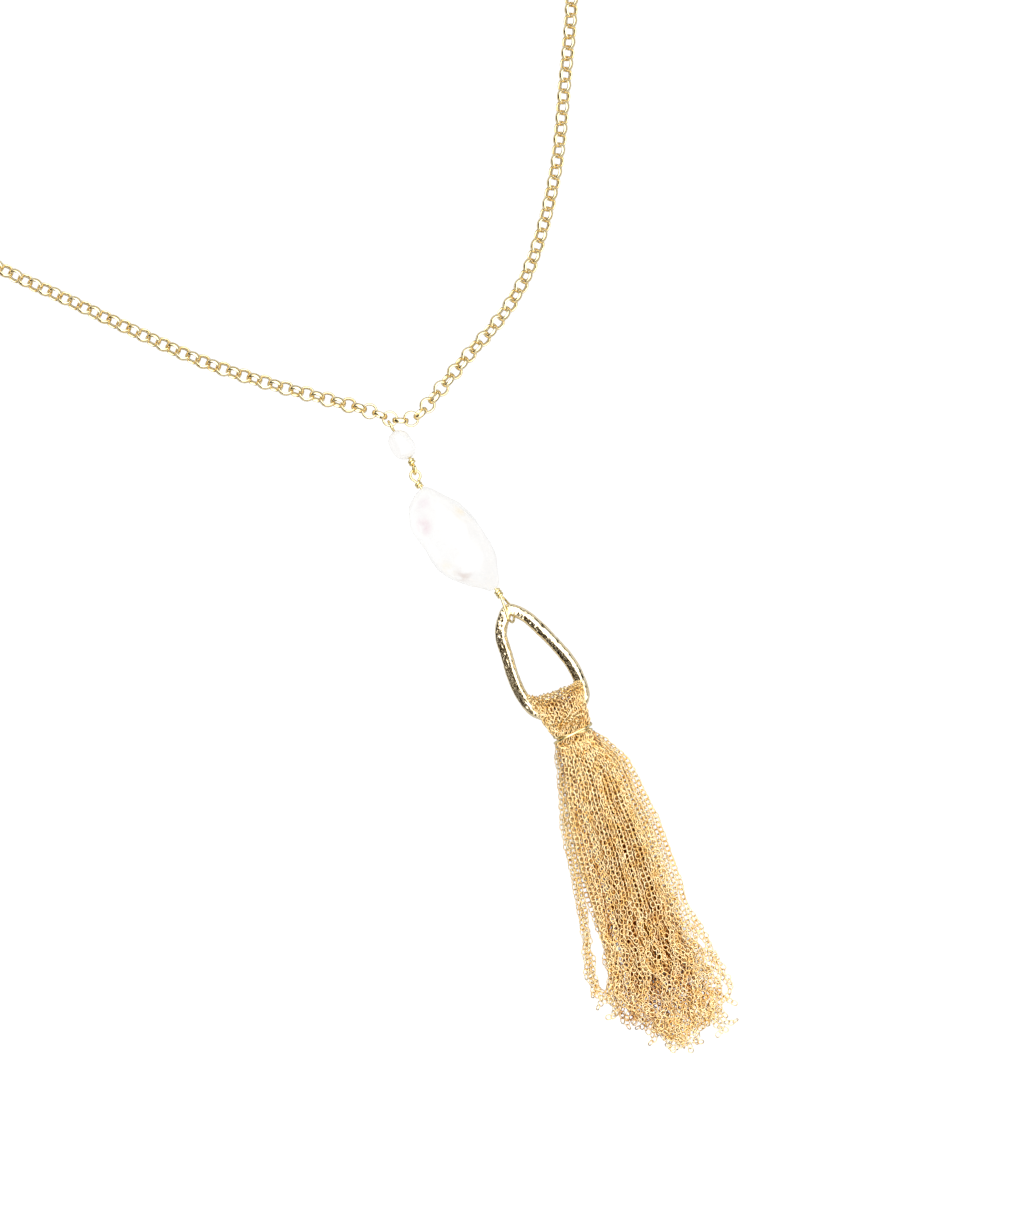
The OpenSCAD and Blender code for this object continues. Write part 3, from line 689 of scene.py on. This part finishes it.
def pearl(name, top, pearl_frame, size, sections, detail, lumps):
    """A pearl from a sphere whose rings follow the table of sections, with smooth lumps."""
    width, thickness, length = size
    rows = smooth_open(sections, SECTION_STEPS)
    body = bmesh.new()
    bmesh.ops.create_uvsphere(body, u_segments=detail, v_segments=detail, radius=1)
    for vert in body.verts:
        share = (1 - vert.co.z) / 2
        around = Vector((vert.co.x, vert.co.y))
        ring = min(1, around.length / POLE_SHARE)
        around = around.normalized() if around.length > 1e-5 else Vector((0, 0))
        left, right, above, below = (np.interp(share, rows[:, 0], rows[:, k]) for k in (1, 2, 3, 4))
        x = around.x * (right if around.x > 0 else left) * width
        z = around.y * (above if around.y > 0 else below) * thickness
        point = pearl_frame.place(top, x * ring, z * ring, share * length)
        swell = sum(depth * noise.noise(point / reach) for reach, depth in lumps) * ring
        outward = pearl_frame.side * x + pearl_frame.up * z
        if outward.length > 1e-6:
            point += outward.normalized() * swell
        point.z = max(point.z, REST_GAP)
        vert.co = (point + MIDDLE_LINK.to_3d()) * MM
    bmesh.ops.recalc_face_normals(body, faces=body.faces)
    return as_object(name, body)


# Nacre: width of its patches of tone and of polish, levels of the noise between which its tone changes,
# range of its roughness, and the width and depth of its fine relief
NACRE_PATCH = 6
NACRE_POLISH = 3
NACRE_EDGE = (0.4, 0.7)
NACRE_ROUGH = (0.2, 0.36)
RELIEF_W = 0.9
RELIEF_DEPTH = 0.02
# Height of the tints and painted shade above the pearl's middle, the share of its radius over which one
# fades out, and the patches in which it shows
TINT_RISE = 4
TINT_FADE = 1.6
TINT_PATCH = 2.2
TINT_EDGE = (0.3, 0.65)
# Faint patches on the baroque pearl, partly the nacre's own rose and cream tints and partly painted shade
# in grey and grey-brown where its lumps turn from the light: photo pixel, radius in millimetres, colour
TINTS_AND_PAINTED_SHADE = [
    ((427, 526), 1.7, (0.88, 0.70, 0.75)),
    ((424, 506), 1.6, (0.93, 0.86, 0.88)),
    ((443, 520), 1.6, (0.97, 0.94, 0.78)),
    ((463, 514), 2.0, (0.96, 0.88, 0.74)),
    ((470, 541), 1.8, (0.82, 0.84, 0.84)),
    ((464, 577), 2.0, (0.80, 0.72, 0.68)),
    ((448, 569), 1.8, (0.96, 0.92, 0.82))]


def pearl_colour(paint):
    """Nacre: white, with rose and cream tints and grey patches of painted shade where the photograph has
    them.
    """
    shade = paint.mix_colour(
        colour(0.98, 0.977, 0.97), colour(0.96, 0.945, 0.93),
        paint.noise(NACRE_PATCH, 3).smooth(*NACRE_EDGE))
    # Rose and cream spots are the nacre's own tints; the grey and grey-brown ones are painted shade.
    for pixel, radius, tint_or_shade in TINTS_AND_PAINTED_SHADE:
        at = MIDDLE_LINK + from_photo(*pixel)
        here = paint.spot((at.x, at.y, baroque_mid_z + TINT_RISE), radius * TINT_FADE)
        uneven = paint.noise(TINT_PATCH, 3).smooth(*TINT_EDGE)
        shade = paint.mix_colour(shade, colour(*tint_or_shade), here * uneven)
    return shade


nacre = new_material(
    "nacre",
    Base_Color=pearl_colour,
    Roughness=lambda p: p.noise(NACRE_POLISH).between(*NACRE_ROUGH),
    Specular_IOR_Level=0.3,
    Coat_Weight=0.3,
    Coat_Roughness=0.15,
    Normal=lambda p: p.bump(p.noise(RELIEF_W, 3), RELIEF_DEPTH))


def make_pearls():
    small = pearl("small_pearl_body", small_top, small_frame, (SMALL_W, SMALL_W, SMALL_L),
                  SMALL_SECTIONS, SMALL_DETAIL, SMALL_LUMPS)
    finished(small, "small_pearl", nacre)
    large = pearl("baroque_pearl_body", baroque_top, baroque_frame, (BAROQUE_W, BAROQUE_H, BAROQUE_L),
                  BAROQUE_SECTIONS, BAROQUE_DETAIL, BAROQUE_LUMPS)
    finished(large, "baroque_pearl", nacre)


make_pearls()


# Wires of the pearls

EYE_STEPS = 28
COIL_STEPS = 24


def crosswise(at_frame, roll):
    return at_frame.side * cos(radians(roll)) + at_frame.up * sin(radians(roll))


def eye_path(neck, at_frame, roll, radius, reach):
    """Wire from a neck round an eye and back: two straight legs and an arc."""
    across = crosswise(at_frame, roll)
    lead = acos(radius / reach)
    centre = neck + at_frame.axis * reach
    points = []
    for k in range(EYE_STEPS + 1):
        a = mix(lead - pi / 2, 1.5 * pi - lead, k / EYE_STEPS)
        points.append(centre + (across * cos(a) + at_frame.axis * sin(a)) * radius)
    return points


def coil_path(neck, at_frame, roll, turns):
    """Wire wound round the stem below a neck, back towards the pearl."""
    across = crosswise(at_frame, roll)
    other = across.cross(at_frame.axis)
    points = []
    for k in range(COIL_STEPS * turns + 1):
        a = pi + 2 * pi * k / COIL_STEPS
        points.append(neck + (across * cos(a) + other * sin(a)) * coil_r
                      - at_frame.axis * (coil_start + coil_pitch * k / COIL_STEPS))
    return points


def make_wires():
    up = small_frame.turned()
    hook_neck = small_top + up.axis * (BEAD_GAP + WIRE_D / 2)
    small = (
        eye_path(hook_neck, up, HOOK_ROLL, hook_eye_r, hook_eye_r * EYE_STEM)[::-1]
        + [hook_neck + small_frame.axis * WIRE_D, inner_neck - small_frame.axis * WIRE_D]
        + eye_path(inner_neck, eyes_frame, INNER_ROLL, inner_eye_r, inner_eye_r * EYE_STEM)
        + coil_path(inner_neck, small_frame, INNER_ROLL, COIL_A_TURNS))
    finished(tube("small_pearl_bent_wire", small, WIRE_D / 2), "small_pearl_wire", wire_gold)
    up = baroque_frame.turned()
    large = (
        (eye_path(outer_neck, eyes_frame.turned(), OUTER_ROLL, outer_eye_r, outer_eye_r * EYE_STEM)
         + coil_path(outer_neck, up, OUTER_ROLL, COIL_B_TURNS))[::-1]
        + [outer_neck + baroque_frame.axis * WIRE_D, loop_neck - baroque_frame.axis * WIRE_D]
        + eye_path(loop_neck, loop_frame, LOOP_ROLL, loop_r, LOOP_REACH)
        + coil_path(loop_neck, baroque_frame, LOOP_ROLL, COIL_C_TURNS))
    finished(
        tube("baroque_pearl_bent_wire", large, WIRE_D / 2), "baroque_pearl_wire", wire_gold)


make_wires()


# Hammered ring

# Turn of the tent's dark opening and of the ring's flats from the photo's left towards its lower edge
OPENING_TURN = 15
RING_STEPS = 36
RING_SIDES = 64
# Flat of the bar's upper side: share along the ring, the flat's turn towards the dark opening in
# degrees and half the angle that it covers, on the left bar and on the right bar
LEFT_FLAT = [(0, 23, 34), (0.15, 24, 40), (0.5, 22, 40), (0.74, 21, 36), (0.86, 2, 24), (0.96, 20, 34)]
RIGHT_FLAT = [(0, 24, 22), (0.2, 32, 19), (0.45, 31, 21), (0.62, 27, 32), (0.85, 28, 36), (1, 12, 22)]
# How sharply the flats end: a high power gives a crisp edge
FLAT_POWER = 20
# Hammer marks: how many, and the range of their radius and of their depth as a share of it
DENT_COUNT = 2600
DENT_RADIUS = (0.16, 0.48)
DENT_DEPTH = (0.03, 0.12)
# Slow waves of the bar's surface: their height and width
BAR_WAVE = 0.07
BAR_WAVE_W = 2.6


def make_ring():
    """Bar along the ring's middle line, flattened on top and dented by hammer marks."""
    line = smooth_closed([tuple(bar_point(row[1], row[0])) for row in RING_BENDS], RING_STEPS)
    ring = tube("hammered_ring_bar", line, BAR_D / 2, RING_SIDES, closed=True)
    centres = laid(line) / MM
    mesh = ring.data
    points = np.empty(len(mesh.vertices) * 3)
    mesh.vertices.foreach_get("co", points)
    points = points.reshape(-1, 3) / MM
    near = np.array([np.argmin(((centres - p) ** 2).sum(1)) for p in points])
    outward = points - centres[near]
    outward /= np.linalg.norm(outward, axis=1)[:, None]
    turn = radians(PHOTO_TURN - OPENING_TURN)
    to_opening = np.array([-cos(turn), sin(turn), 0])
    from_top = line - np.array(upper_bar)
    along = from_top @ np.array(ring_frame.axis) / bar_run
    across = from_top @ np.array(ring_frame.side)
    flats = [LEFT_FLAT if x < 0 else RIGHT_FLAT for x in across]
    tilt, half = (
        np.radians([lookup(flat, y, column) for flat, y in zip(flats, along)])[near] for column in (1, 2))
    flat = np.cos(tilt)[:, None] * np.array(UP) + np.sin(tilt)[:, None] * to_opening
    facing = np.maximum((outward * flat).sum(1), 0.01)
    shift = ((1 + (facing / np.cos(half)) ** FLAT_POWER) ** (-1 / FLAT_POWER) - 1) * BAR_D / 2
    draw = random.Random(7)
    for _ in range(DENT_COUNT):
        at = points[draw.randrange(len(points))]
        radius = draw.uniform(*DENT_RADIUS)
        depth = draw.uniform(*DENT_DEPTH) * radius
        fall = np.clip(1 - ((points - at) ** 2).sum(1) / radius ** 2, 0, 1)
        shift -= depth * fall
    shift += np.array([BAR_WAVE * noise.noise(Vector(p) / BAR_WAVE_W) for p in points])
    points = points + outward * shift[:, None]
    mesh.vertices.foreach_set("co", (points * MM).ravel())
    mesh.update()
    finished(ring, "hammered_ring", ring_gold)


make_ring()


# Tie wire

TIE_TURNS = 2
TIE_STEPS = 80


def waist_r(angle, room):
    """Radius of the waist's rounded outline at an angle in degrees, with some room round it."""
    a = radians(angle)
    return ((abs(cos(a)) / (WAIST_W / 2 + room)) ** WAIST_POWER
            + (abs(sin(a)) / (WAIST_H / 2 + room)) ** WAIST_POWER) ** (-1 / WAIST_POWER)


def make_tie():
    """Two turns round the waist that cross on top."""
    path = []
    for i in range(TIE_TURNS * TIE_STEPS):
        a = 360 * i / TIE_STEPS
        c, s = cos(radians(a)), sin(radians(a))
        r = waist_r(a - 90, TIE_CLEAR + TIE_D / 2)
        lift = (TIE_D + TIE_CROSS_GAP) * (1 - c) / 2 if a > 360 else 0
        path.append(tassel_frame.place(
            waist, s * (r + lift), -c * (r + lift), cos(radians(a / 2)) * TIE_D * TIE_SPREAD))
    finished(tube("tie_wire_turns", path, TIE_D / 2, closed=True), "tie_wire", wire_gold)


make_tie()


# Tassel of fine cable chains

CABLE_L = 1.45
CABLE_W = 1.22
CABLE_WIRE = 0.21
CABLE_PITCH = 1.02
CABLE_STEPS = 10
CABLE_SIDES = 5
# Turn of a link out of the strand's own plane, in radians
LINK_ROLL = 0.5
# Strands across the head in each layer over the bar, and the height of one layer
HEAD_STRANDS = 16
HEAD_LAYERS = 3
STRAND_RISE = 0.8
# How much farther the strands reach into the ring in the head's middle
HEAD_PILE = 1.4
# Ends of the head along the ring's lower bar, as shares of the head's width from its middle
HEAD_ENDS = (-0.48, 0.4)
# Skirt outline: distance from the waist, its left edge and its right edge
SKIRT = [
    (0, -2.8, 2.8), (2, -4.4, 4.3), (3.5, -5.2, 5.7), (6, -5.8, 7.2), (8.5, -6.9, 8.4), (11, -7.7, 8.8),
    (16, -9.4, 9.3), (21, -10.5, 9.9), (26, -11.3, 9.9), (33.5, -12.5, 9.7), (41, -14.2, 9.3),
    (46, -15.2, 10.0), (51, -16.2, 11.3), (56, -16.6, 11.2), (70, -16.8, 11.6)]
# Part of that width that each row of strands covers, from the row on the table up
ROW_SPANS = [(0, 1), (0.03, 0.98), (0.07, 0.94), (0.1, 0.9), (0.13, 0.86), (0.16, 0.82)]
# Length of the strands from the waist, by their place from left (0) to right (1)
TIPS = [
    (0, 51), (0.1, 53), (0.22, 56.5), (0.32, 60), (0.45, 64.5), (0.53, 67.5), (0.64, 65.5), (0.76, 64),
    (0.86, 65.5), (1, 59)]
# Places across the skirt that the strands leave bare left of its middle, and how wide the gap opens
# along the skirt
LEFT_GAP = (0.11, 0.22)
GAP_OPENS = [(27, 0), (36, 0.5), (43, 1), (48, 0.9), (52, 0), (70, 0)]
# Share of their own room that the open gap leaves the strands left of it, and those that it moves right
GAP_LEFT_PART = 0.7
GAP_RIGHT_PART = 0.3
# Lowest middle of a fine link, on the table
LINK_REST = 0.62
# How much the strands' lengths vary, and what evens out the loss
LENGTH_SPREAD = 1.8
LENGTH_GAIN = 0.6
# Where the skirt's points start below the waist, and the step between them
SKIRT_FROM = 2.2
SKIRT_STEP = 1.3
# A strand's bow to one side, and the lengths and the size of its two sideways waves
BOW = 0.3
WAVE_SPANS = ((9, 16), (4, 7))
WAVE_SIZE = (0.5, 1.4)
ANY_TURN = (0, 6.3)
# Size of those waves where the strands are taut, and their gain where they lie loose. At the skirt's left
# edge only a part of the gain holds, which rises by 1 over a share of the width until it is whole.
TAUT_WAVE = 0.08
LOOSE_WAVE = 0.75
LEFT_EDGE = 0.2
LEFT_PART = 0.3
# The strands come loose from this distance on, over such a length
LOOSE_FROM = 34
LOOSE_OVER = 24
# Heights of the lowest and of the highest row at the waist, and the length over which they come down
WAIST_ROWS = (1.2, 7.2)
FALL_OVER = 14
# Height of the lowest row on the table, and of one row above the next where taut and where loose
FIRST_ROW = 0.64
ROW_RISE = (0.74, 0.5)
# Height of the loose strands' waves
LOOSE_RISE = 0.35


def cable_link():
    """An oval wire link lying along X: a small ring pulled apart into two halves."""
    link = bmesh.new()
    ring_of_wire(link, Vector((0, 0, 0)), CABLE_W, CABLE_WIRE, CABLE_STEPS, CABLE_SIDES)
    for vert in cleaned(link).verts:
        vert.co.x += copysign((CABLE_L - CABLE_W) / 2, vert.co.x)
    return link


def skirt_half(draw, share, row, rows):
    """Points of a half strand from the waist to its tip, in the tassel's own directions."""
    length = lookup(TIPS, share) - abs(draw.gauss(0, LENGTH_SPREAD)) + LENGTH_GAIN
    bow = draw.uniform(-BOW, BOW)
    spans = [draw.uniform(*span) for span in WAVE_SPANS]
    turns = [draw.uniform(*ANY_TURN) for _ in spans]
    size = draw.uniform(*WAVE_SIZE)
    gap_share = share
    if LEFT_GAP[0] < share < LEFT_GAP[1]:
        gap_share = LEFT_GAP[1] + (share - LEFT_GAP[0]) * GAP_RIGHT_PART
    elif share < LEFT_GAP[0]:
        gap_share = share * GAP_LEFT_PART
    freedom = min(1, share / LEFT_EDGE + LEFT_PART)
    waist_rise = mix(*WAIST_ROWS, row / (rows - 1))
    points = []
    for along in np.arange(SKIRT_FROM, length, SKIRT_STEP):
        left, right = (lookup(SKIRT, along, column) for column in (1, 2))
        loose = min(1, max(0, (along - LOOSE_FROM) / LOOSE_OVER))
        place = mix(share, gap_share, lookup(GAP_OPENS, along))
        weave = sum(sin(2 * pi * along / span + turn) for span, turn in zip(spans, turns))
        across = mix(left, right, place) + bow * sin(pi * along / length)
        across += weave * (TAUT_WAVE + size * LOOSE_WAVE * loose * freedom)
        down = min(1, along / FALL_OVER)
        down = down * down * (3 - 2 * down)
        rise = mix(waist_rise, FIRST_ROW + row * mix(*ROW_RISE, loose), down)
        rise += LOOSE_RISE * loose * sin(2 * pi * along / spans[0] + 1)
        points.append((across, max(rise, LINK_REST), along))
    return points


# A curled tip: how sharply it turns at each of its steps, in radians, and the length and fall of a step
CURL_TURN = (0.21, 0.7)
CURL_STEPS = (2, 5)
CURL_STEP = 0.9
CURL_FALL = 0.4


def tip_curl(draw, points):
    """The strand's last stretch, which curls to one side."""
    turn = draw.choice((-1, 1)) * draw.uniform(*CURL_TURN)
    (x0, _, z0), (x1, rise, z1) = points[-2], points[-1]
    heading = atan2(x1 - x0, z1 - z0)
    curl = []
    for _ in range(draw.randrange(*CURL_STEPS)):
        heading += turn
        x1 += CURL_STEP * sin(heading)
        z1 += CURL_STEP * cos(heading)
        rise = max(LINK_REST, rise - CURL_FALL)
        curl.append((x1, rise, z1))
    return curl


# Share of the ring's length from which its outline counts as the lower bar
LOWER_BAR_FROM = 0.8
# Angles of a strand's points round the bar, in degrees
FOLD_ANGLES = range(-100, 101, 20)


def over_the_bar(share, layer):
    """Points of a strand round the ring's lower bar, from below the waist to above it."""
    lower_bar = sorted((row[1], row[0]) for row in RING_BENDS if row[0] > LOWER_BAR_FROM)
    across = mix(*HEAD_ENDS, share + 0.5) * HEAD_W / bar_span
    bar = bar_point(across, lookup(lower_bar, across))
    out = Vector((bar.x - waist.x, bar.y - waist.y, 0)) - tassel_frame.side * (share * WAIST_W)
    out.normalize()
    reach = BAR_D / 2 + (layer + 1) * STRAND_RISE
    pile = HEAD_PILE * (1 - (2 * share) ** 2) * (1 + layer) / HEAD_LAYERS
    return [
        bar + out * (cos(a) * reach + max(0, cos(a)) * pile) + UP * sin(a) * reach
        for a in np.radians(FOLD_ANGLES)]


# Place of each layer's strands between those of its neighbours, and how far a strand strays from its
# place over the bar and in the skirt
LAYER_STAGGER = (0.25, 0.75, 0.5)
HEAD_STRAY = 0.012
SKIRT_STRAY = 0.02
CURLED_SHARE = 0.5
# Heights of the layers from the waist's middle: the first, and one above the next
KNOT_RISE = 0.5
KNOT_LAYER = 1.05
# Points under the tie wire: distance from the waist, width as a share of the waist's
KNOT = [(-1.6, 1.2), (-0.6, 0.96), (0.6, 0.96), (1.6, 1.25)]


def strand_path(draw, number, layer):
    """One whole chain, from its lower tip over the bar to its upper tip."""
    share = (number + LAYER_STAGGER[layer]) / HEAD_STRANDS - 0.5
    head_share = share + draw.uniform(-HEAD_STRAY, HEAD_STRAY)
    below_waist = waist.xy.to_3d()
    rows = HEAD_LAYERS * 2
    halves = []
    for side, row in ((-1, HEAD_LAYERS - 1 - layer), (1, HEAD_LAYERS + layer)):
        spread = mix(*ROW_SPANS[row], share + 0.5) + draw.uniform(-SKIRT_STRAY, SKIRT_STRAY)
        skirt = skirt_half(draw, min(1, max(0, spread)), row, rows)
        if draw.random() < CURLED_SHARE:
            skirt += tip_curl(draw, skirt)
        height = waist.z + side * (KNOT_RISE + layer * KNOT_LAYER)
        knot = [(share * WAIST_W * wide, height, along) for along, wide in KNOT]
        halves.append([tassel_frame.place(below_waist, *point) for point in knot + skirt])
    lower, upper = halves
    return [tuple(p) for p in lower[::-1] + over_the_bar(head_share, layer) + upper]


# Slow drift of the links' turn along a strand, in radians, the links that it takes to turn by one
# radian, and the random part of a link's turn
DRIFT = 0.3
DRIFT_LINKS = 9
ROLL_STRAY = 0.15
# Way that a strand's first link faces, before it is set square to the strand
FIRST_FACE = (0.1, 0.2, 1.0)
STRAND_STEPS = 6


def strand_places(draw, path):
    """Places of the fine links along a strand, which lean to its two sides in turn."""
    curve = smooth_open(path, STRAND_STEPS)
    count = int(run_lengths(curve)[-1] / CABLE_PITCH)
    points = points_at(curve, np.arange(count) * CABLE_PITCH)
    ahead = np.diff(points, axis=0)
    ahead /= np.linalg.norm(ahead, axis=1)[:, None]
    ahead = np.concatenate([ahead, ahead[-1:]])
    points[:, 2] = np.maximum(points[:, 2], LINK_REST)
    normal = np.array(FIRST_FACE)
    drift = draw.uniform(*ANY_TURN)
    places = []
    for i, (centre, along) in enumerate(zip(points, ahead)):
        normal = normal - along * np.dot(normal, along)
        normal /= np.linalg.norm(normal)
        angle = LINK_ROLL if i % 2 else -LINK_ROLL
        angle += DRIFT * sin(i / DRIFT_LINKS + drift) + draw.uniform(-ROLL_STRAY, ROLL_STRAY)
        face = normal * cos(angle) + np.cross(along, normal) * sin(angle)
        places.append(place_matrix(along, face, centre))
    return places


STRAND_GROUPS = 8


def make_tassel():
    draw = random.Random(21)
    per_group = HEAD_STRANDS // STRAND_GROUPS
    for group in range(STRAND_GROUPS):
        places = []
        for number in range(group * per_group, (group + 1) * per_group):
            for layer in range(HEAD_LAYERS):
                places += strand_places(draw, strand_path(draw, number, layer))
        strands = joined(f"tassel_strands_{group + 1}", cable_link(), places)
        finished(strands, "tassel", strand_gold)


make_tassel()


# Spring ring clasp, lifted by the links that pass round it

CLASP_Z = 1.6
CLASP_KNOB_D = 1.7
# Collars round the clasp's tube: place round it in degrees and width
COLLARS = [(-62, 0.5), (8, 0.5), (172, 0.7), (188, 0.7)]
COLLAR_RISE = 0.08
# The knob and its stem, which stands on the tube's outer side
KNOB_AT = 50
STEM_L = 1.5
STEM_R = (0.42, 0.36)
STEM_OUT = 0.1
KNOB_OUT = 0.25
# Steps round, and sides or rings, of the clasp's parts
CLASP_DETAIL = (96, 20)
CLASP_EYE_DETAIL = (48, 14)
KNOB_DETAIL = (20, 12)
COLLAR_SIDES = 24
STEM_SIDES = 16

clasp_middle = Vector((clasp_at[0], clasp_at[1], CLASP_Z))
clasp_eye = Vector((clasp_eye_at[0], clasp_eye_at[1], CLASP_Z))


def from_clasp(angle, reach, lie="Z", turn=0):
    """Place at an angle and distance from the clasp's middle, with its own turn about an axis."""
    return (Matrix.Translation(clasp_middle) @ Matrix.Rotation(radians(angle), 4, "Z")
            @ Matrix.Translation((reach, 0, 0)) @ Matrix.Rotation(turn, 4, lie))


def make_clasp():
    """Spring ring with its collars, its eye, and the knob that draws the spring back."""
    body = bmesh.new()
    ring_of_wire(body, clasp_middle, CLASP_OD, CLASP_T, *CLASP_DETAIL)
    ring_of_wire(body, clasp_eye, CLASP_EYE_OD, CLASP_EYE_T, *CLASP_EYE_DETAIL)
    collar_r = CLASP_T / 2 + COLLAR_RISE
    for angle, width in COLLARS:
        bmesh.ops.create_cone(
            body, cap_ends=True, segments=COLLAR_SIDES, radius1=collar_r, radius2=collar_r, depth=width,
            matrix=from_clasp(angle, (CLASP_OD - CLASP_T) / 2, "X", pi / 2))
    bmesh.ops.create_cone(
        body, cap_ends=True, segments=STEM_SIDES, radius1=STEM_R[0], radius2=STEM_R[1], depth=STEM_L,
        matrix=from_clasp(KNOB_AT, CLASP_OD / 2 + STEM_OUT, "Y", pi / 2))
    bmesh.ops.create_uvsphere(
        body, u_segments=KNOB_DETAIL[0], v_segments=KNOB_DETAIL[1], radius=CLASP_KNOB_D / 2,
        matrix=from_clasp(KNOB_AT, CLASP_OD / 2 + KNOB_OUT))
    for vert in cleaned(body).verts:
        vert.co = (vert.co + MIDDLE_LINK.to_3d()) * MM
    finished(as_object("spring_ring_clasp", body), "clasp", chain_gold)


make_clasp()


# Floor, lights and world

# Half the floor's side, in metres
FLOOR_HALF = 2.5
# The table's own white, and the share of its light that glows by itself, except in the metal's mirror
TABLE_WHITE = 0.7
TABLE_GLOW = 0.9
GLOW_LIGHT = 1.15
# Painted shadow on the table under the tassel's middle, where the glow is cut and a warm tone stands in for
# light bounced off the chains: its tone, its place across the outline, the squared places from there
# between which it fades out, and where it starts and ends along the tassel
PAINTED_WARM_SHADOW = (0.62, 0.36, 0.12)
HIDDEN_MIDDLE = 0.15
HIDDEN_EDGE = (0.16, 0.38)
HIDDEN_START = (6, 12)
HIDDEN_END = (50, 57)
# Dark opening: its middle from straight up, its half width and that of its soft edge, in degrees.
# Bright spots break it up.
OPENING_TILT = 54
OPENING_REACH = 33
OPENING_FADE = 4
OPENING_TONE = (0.024, 0.017, 0.01)
SPOT_SCALE = 8.0
SPOT_EDGE = (0.6, 0.66)
SPOT_SHARE = 0.7
# Mirrored light: strong overhead, fading between these angles to the level of the tent's walls
LAMP_REACH = (45, 70)
LAMP_LIGHT = 2.6
WALL_LIGHT = 0.5
DIFFUSE_LIGHT = 1.0
# The tent's lowest part, from straight up, loses most of its light between these angles
LOW_REACH = (70, 80)
LOW_LOSS = 0.94
# Distance from the middle link down to the pendant's middle
PENDANT_MIDDLE = 50
# Weak light from above: place, side and power in watts
TOP_LIGHT_AT = (-80, 60, 900)
TOP_LIGHT_SIDE = 600
TOP_LIGHT_POWER = 0.5


def painted_shadow_under_tassel(paint):
    """1 where shadow is painted on the table under the tassel's middle: the glow is cut there and a warm
    tone stands in for light bounced off the chains.
    """
    along, off = over_tassel(paint)
    off = off - HIDDEN_MIDDLE
    within = 1 - (off * off).smooth(*HIDDEN_EDGE)
    return within * along.smooth(*HIDDEN_START) * (1 - along.smooth(*HIDDEN_END))


def make_floor():
    """White table, which shows as plain white and is lit like any surface in the metal's mirror."""
    floor = bmesh.new()
    bmesh.ops.create_grid(floor, x_segments=1, y_segments=1, size=FLOOR_HALF)
    obj = as_object("floor", floor)
    bpy.context.scene.collection.objects.link(obj)
    # The table's colour and glow carry a painted warm shadow under the tassel's middle.
    material = new_material(
        "lit_white_table",
        Base_Color=lambda p: p.mix_colour(
            colour(TABLE_WHITE, TABLE_WHITE, TABLE_WHITE), colour(*PAINTED_WARM_SHADOW), painted_shadow_under_tassel(p)),
        Roughness=0.9)
    tree = material.node_tree
    paint = Paint(tree, keep=True)
    ends = {node.bl_idname: node for node in tree.nodes}
    mirrored = paint.node("ShaderNodeLightPath", out="Is Glossy Ray")
    glow = paint.node("ShaderNodeEmission", inputs={"Color": colour(1, 1, 1), "Strength": GLOW_LIGHT})
    lit = paint.node("ShaderNodeMixShader", inputs={
        0: (1 - mirrored) * (1 - painted_shadow_under_tassel(paint)) * TABLE_GLOW,
        1: Value(paint, ends["ShaderNodeBsdfPrincipled"].outputs[0]),
        2: glow})
    tree.links.new(lit.socket, ends["ShaderNodeOutputMaterial"].inputs["Surface"])
    obj.data.materials.append(material)


def softbox(name, at, size, power):
    """A square soft light that faces the pendant."""
    data = bpy.data.lights.new(name, "AREA")
    data.shape = "SQUARE"
    data.size = size * MM
    data.energy = power
    light = bpy.data.objects.new(name, data)
    place = Vector(at) * MM
    target = Vector((MIDDLE_LINK.x, MIDDLE_LINK.y - PENDANT_MIDDLE, 0)) * MM
    light.location = place
    light.rotation_euler = (target - place).to_track_quat("-Z", "Y").to_euler()
    bpy.context.scene.collection.objects.link(light)


def nearer(facing, near, far):
    """1 where a cosine is that of an angle under the first, in degrees, and 0 beyond the second."""
    return facing.smooth(cos(radians(far)), cos(radians(near)))


def make_world():
    """White light tent with a dark opening towards the photograph's lower left, which the metal mirrors."""
    world = bpy.data.worlds.new("world")
    bpy.context.scene.world = world
    world.use_nodes = True
    paint = Paint(world.node_tree)
    turn = radians(PHOTO_TURN - OPENING_TURN)
    aside = Vector((-cos(turn), sin(turn), 0))
    opening = aside * sin(radians(OPENING_TILT)) + UP * cos(radians(OPENING_TILT))
    towards = paint.node("ShaderNodeTexCoord", out="Generated")
    height = paint.dot(towards, UP)
    dark = nearer(paint.dot(towards, opening), OPENING_REACH - OPENING_FADE, OPENING_REACH + OPENING_FADE)
    mirrored = paint.node("ShaderNodeLightPath", out="Is Glossy Ray")
    spots = paint.node("ShaderNodeTexNoise", inputs={
        "Vector": towards, "Scale": SPOT_SCALE, "Detail": 2.0}).smooth(*SPOT_EDGE)
    shade = paint.mix_colour(
        colour(1, 1, 1), colour(*OPENING_TONE), dark * (1 - spots * SPOT_SHARE) * mirrored)
    low = 1 - nearer(height, *LOW_REACH)
    walls = nearer(height, *LAMP_REACH).between(WALL_LIGHT, LAMP_LIGHT) * (1 - low * LOW_LOSS)
    strength = mirrored.between(DIFFUSE_LIGHT, walls)
    paint.node("ShaderNodeOutputWorld", inputs={
        "Surface": paint.node("ShaderNodeBackground", inputs={"Color": shade, "Strength": strength})})


make_floor()
make_world()
softbox("top_light", TOP_LIGHT_AT, TOP_LIGHT_SIDE, TOP_LIGHT_POWER)
bpy.context.scene.view_settings.view_transform = "Standard"
